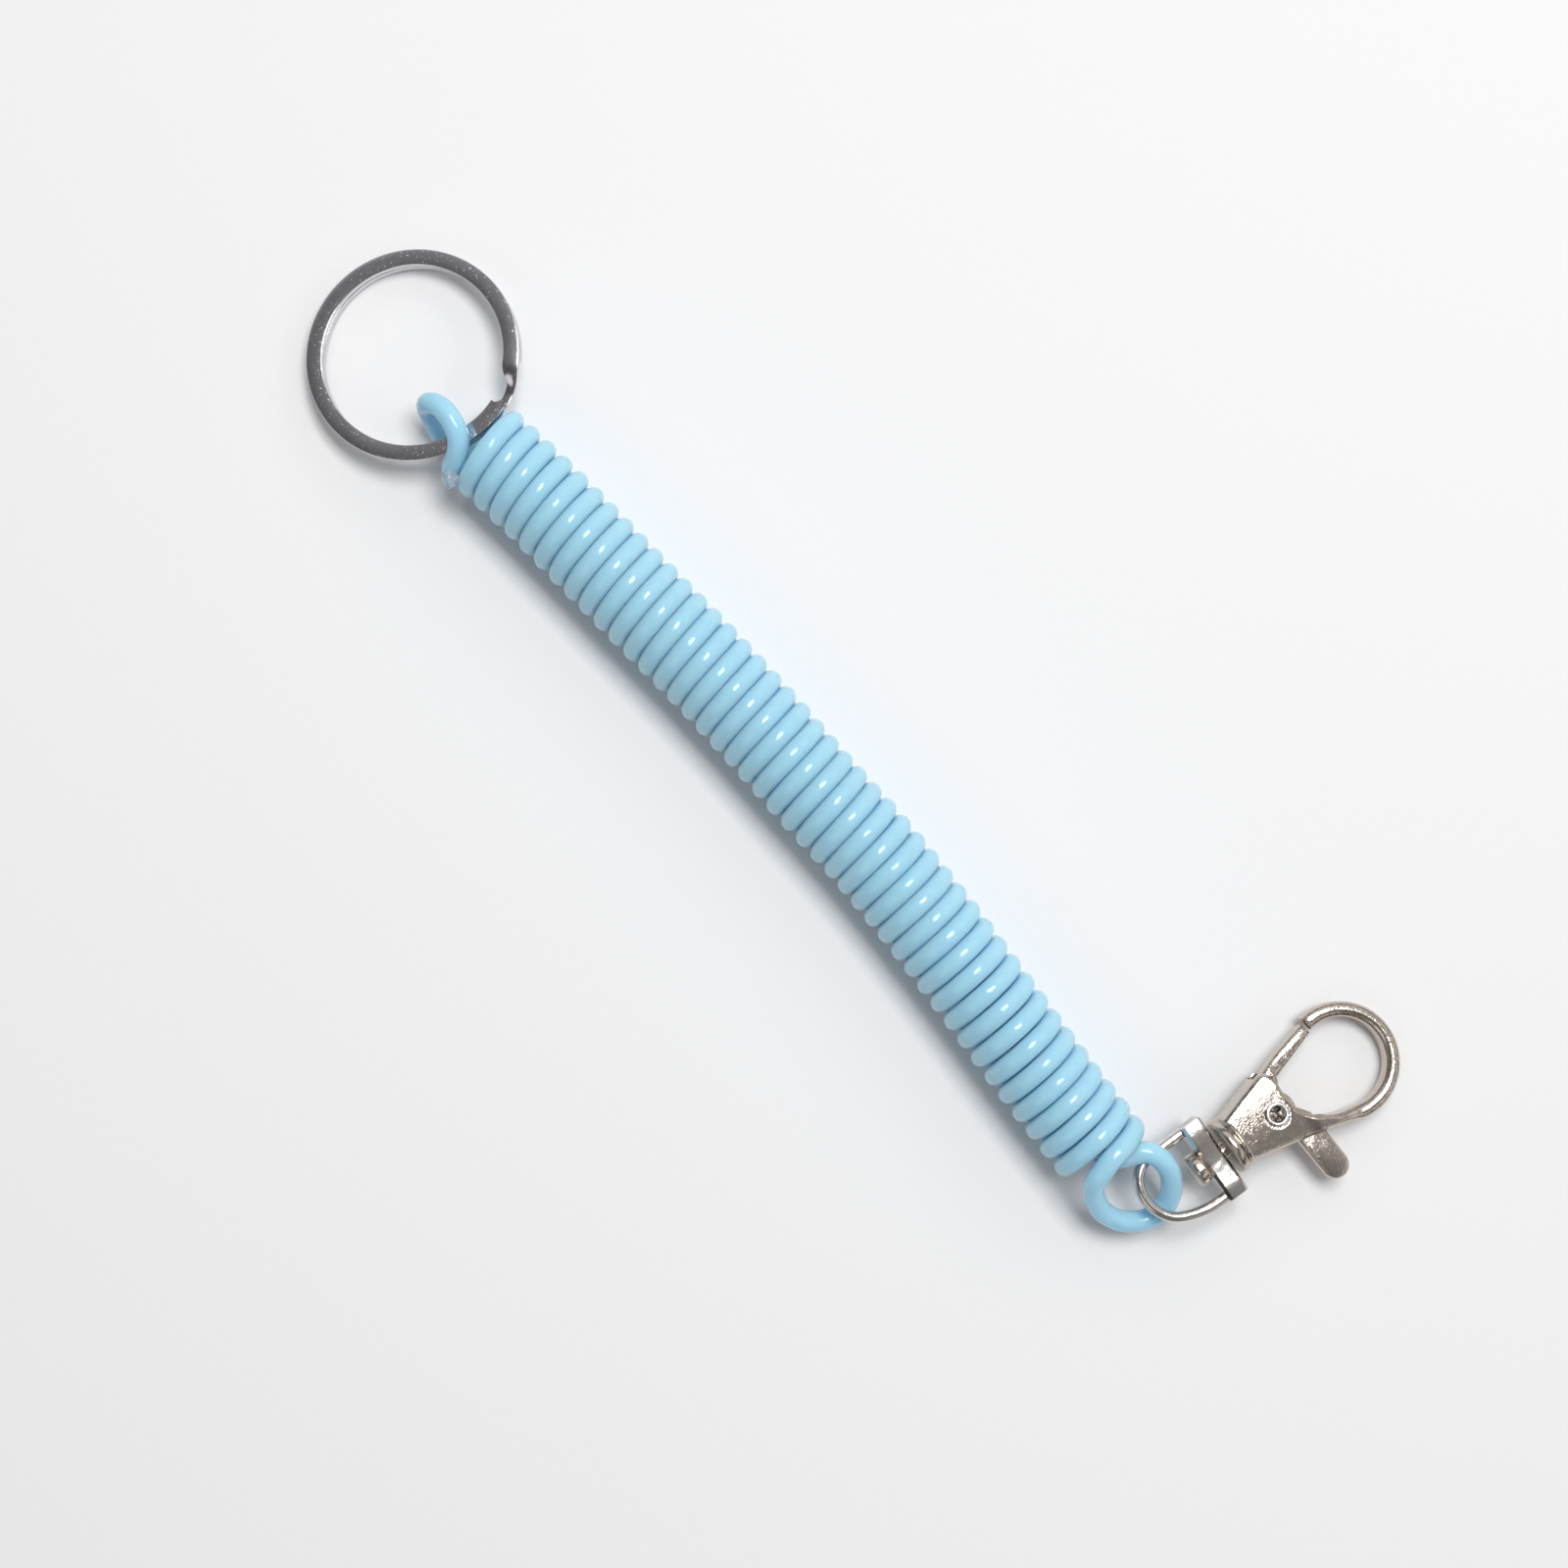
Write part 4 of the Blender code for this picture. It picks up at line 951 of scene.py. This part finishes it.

# %% [markdown]
# ## Nickel on a casting
# The hook's nickel is warm brown: partly the plating's own tint and partly a painted warm reflection
# of the surroundings. The casting under it isn't smooth: from close up it has the skin of an orange.
# The dimples are about a quarter of a millimetre across. They only show where the surface turns from
# light to dark, which is where each dimple picks one or the other. A slower wave bends the reflections
# of long edges, and a third one varies tint and roughness, as wear does. The bail is a brighter,
# smoother nickel.

# %% Finish of the hook and the bail
WAVE_DEPTH, WAVE_SCALE, WEAR_SCALE = 0.06, 0.45, 1.1


def nickel(name, tint, dark_tint, smoothness, dimples, dimple_size=0.27):
    """Nickel over a casting, with sizes in millimetres."""
    finish = Finish(name, Metallic=1.0)
    place = finish.place()
    skin = finish.noise(place, 1 / dimple_size, detail=1.5, roughness=0.4)
    wave = finish.noise(place, WAVE_SCALE, detail=1.0)
    wear = finish.noise(place, WEAR_SCALE, detail=3.0, roughness=0.6)
    finish.feed(
        Base_Color=finish.blend_colours(wear, dark_tint, tint),
        Roughness=wear * 0.10 + skin * 0.06 + smoothness,
        Normal=finish.bumps(skin * dimples + wave * WAVE_DEPTH, 1.0 * MM),
    )
    return finish


# The hook's brown tints are partly the nickel's own and partly a painted warm reflection.
hook_finish = nickel("hook_nickel", (0.64, 0.57, 0.51, 1), (0.49, 0.42, 0.36, 1), 0.10, 0.036, 0.24)
bail_finish = nickel("bail_nickel", (0.74, 0.70, 0.67, 1), (0.64, 0.60, 0.57, 1), 0.06, 0.003)
for piece, finish in ((hook, hook_finish), (gate, hook_finish), (bail, bail_finish)):
    coat_piece(piece, finish)

# %% [markdown]
# ## Plated steel
# The ring's wire is rolled smooth, and its flat face mirrors the dim ceiling. Keys have left
# hair-fine scratches across it and specks of dust sit on it. Scratches are noise that is squeezed in
# one direction and cut off high, so that only its thin crests are left. The rivet is a paler, duller
# plating with a little grain.

# %% Finish of the ring
ring_finish = Finish("ring_steel", Metallic=1.0)
place = ring_finish.place()
specks = ring_finish.ramp(ring_finish.noise(place, 4.5, detail=2.0), (0.66, 0.0), (0.72, 1.0))
streaks = ring_finish.noise(place, 0.9, detail=4.0, stretch=(9, 1.2, 1))
scratches = ring_finish.ramp(streaks, (0.70, 0.0), (0.74, 1.0))
haze = ring_finish.noise(place, 0.35, detail=3.0)
ring_finish.feed(
    Base_Color=ring_finish.blend_colours(haze, (0.60, 0.58, 0.61, 1), (0.74, 0.72, 0.75, 1)),
    Roughness=haze * 0.07 + specks * 0.18 + scratches * 0.16 + 0.09,
    Normal=ring_finish.bumps(specks * 0.5 + scratches * 0.4 + haze * 0.6, 0.012 * MM),
)
coat_piece(ring, ring_finish)

# %% Finish of the rivet and the spring
rivet_finish = Finish("rivet_steel", Metallic=1.0)
grain = rivet_finish.noise(rivet_finish.place(), 2.6, detail=3.0)
rivet_finish.feed(
    Base_Color=rivet_finish.blend_colours(grain, (0.70, 0.70, 0.70, 1), (0.82, 0.82, 0.82, 1)),
    Roughness=grain * 0.12 + 0.20,
    Normal=rivet_finish.bumps(grain, 0.01 * MM),
)
coat_piece(rivet, rivet_finish)

spring_finish = Finish("spring_steel", Metallic=1.0)
drawn = spring_finish.noise(spring_finish.place(), 3.0, detail=2.0, stretch=(1, 1, 6))
spring_finish.feed(
    Base_Color=spring_finish.blend_colours(drawn, (0.42, 0.42, 0.42, 1), (0.55, 0.55, 0.55, 1)),
    Roughness=drawn * 0.15 + 0.2,
    Normal=spring_finish.bumps(drawn, 0.01 * MM),
)
coat_piece(spring, spring_finish)

# %% [markdown]
# ## Table, lamp and room
# The table is a plain white sheet. One soft lamp stands on the side of the hook: it draws the small
# bright dash on every turn and lays a soft shadow on the coil's other side. Polished metal also
# mirrors the room, which is drawn as rings round the upright: pale low walls, a dark band, a white
# band half way up, and a dim ceiling, as round a real camera. The walls are dimmer on the shadow's
# side, so that the shadow isn't filled up, and one round white card hangs there for the metal to
# mirror.

# %% Lay the table
TABLE_REACH, TABLE_LEVEL = 6.0, -0.00005
corners = ((-1, -1), (1, -1), (1, 1), (-1, 1))
table_corners = [(x * TABLE_REACH, y * TABLE_REACH, TABLE_LEVEL) for x, y in corners]
table = add_piece("table", table_corners, [(0, 1, 2, 3)])
table_finish = Finish("white_table", Roughness=0.9, Specular_IOR_Level=0.1)
paper = table_finish.noise(table_finish.place(), 0.9, detail=2.0)
whites = ((0.865, 0.865, 0.87, 1), (0.88, 0.88, 0.885, 1))
table_finish.feed(Base_Color=table_finish.blend_colours(paper, *whites))
coat_piece(table, table_finish)

# %% Hang the lamp
LAMP_DIRECTION = Vector((-0.087, 0.342, 0.936)).normalized()
LAMP_DISTANCE = 1.0
LAMP_SIZE = (0.60, 0.32)
LAMP_POWER = 7.4

lamp = bpy.data.objects.new("soft_lamp", bpy.data.lights.new("soft_lamp", "AREA"))
lamp.data.shape = "RECTANGLE"
lamp.data.size, lamp.data.size_y = LAMP_SIZE
lamp.data.energy = LAMP_POWER
lamp.location = LAMP_DIRECTION * LAMP_DISTANCE
lamp_x = (Vector((1, 0, 0)) - LAMP_DIRECTION * LAMP_DIRECTION.x).normalized()
lamp_y = LAMP_DIRECTION.cross(lamp_x)
lamp.rotation_euler = Matrix((lamp_x, lamp_y, LAMP_DIRECTION)).transposed().to_euler()
scene.collection.objects.link(lamp)
print("lamp at", [round(c, 2) for c in lamp.location])

# %% Light the room
ROOM_STRENGTH = 1.06
ROOM_SIDE, SIDE_LIGHT = (0.0, 1.0, 0.0), ((0.35, 0.34), (0.65, 0.96))
CARD_SIDE, CARD_EDGE = (0.155, -0.616, 0.771), ((0.955, 0.0), (0.965, 0.8))
CEILING = ((0.0, 0.60), (0.10, 0.45), (0.20, 0.05), (0.33, 0.06), (0.44, 1.0), (0.60, 1.0), (0.72, 0.28))

world = bpy.data.worlds.new("studio")
scene.world = world
world.use_nodes = True
room = Graph(world.node_tree)
direction = room.node("ShaderNodeTexCoord", {}, output="Generated")
height = room.node("ShaderNodeSeparateXYZ", {}, direction, output="Z")
background = world.node_tree.nodes["Background"]
background.inputs["Strength"].default_value = ROOM_STRENGTH
along_side = {"operation": "DOT_PRODUCT"}
side = room.node("ShaderNodeVectorMath", along_side, direction, ROOM_SIDE, output="Value")
card = room.node("ShaderNodeVectorMath", along_side, direction, CARD_SIDE, output="Value")
walls = room.ramp(height, *CEILING) * room.ramp(side * 0.5 + 0.5, *SIDE_LIGHT)
room.connect(background.inputs["Color"], walls + room.ramp(card, *CARD_EDGE))
print(f"{len(world.node_tree.nodes)} nodes light the room")
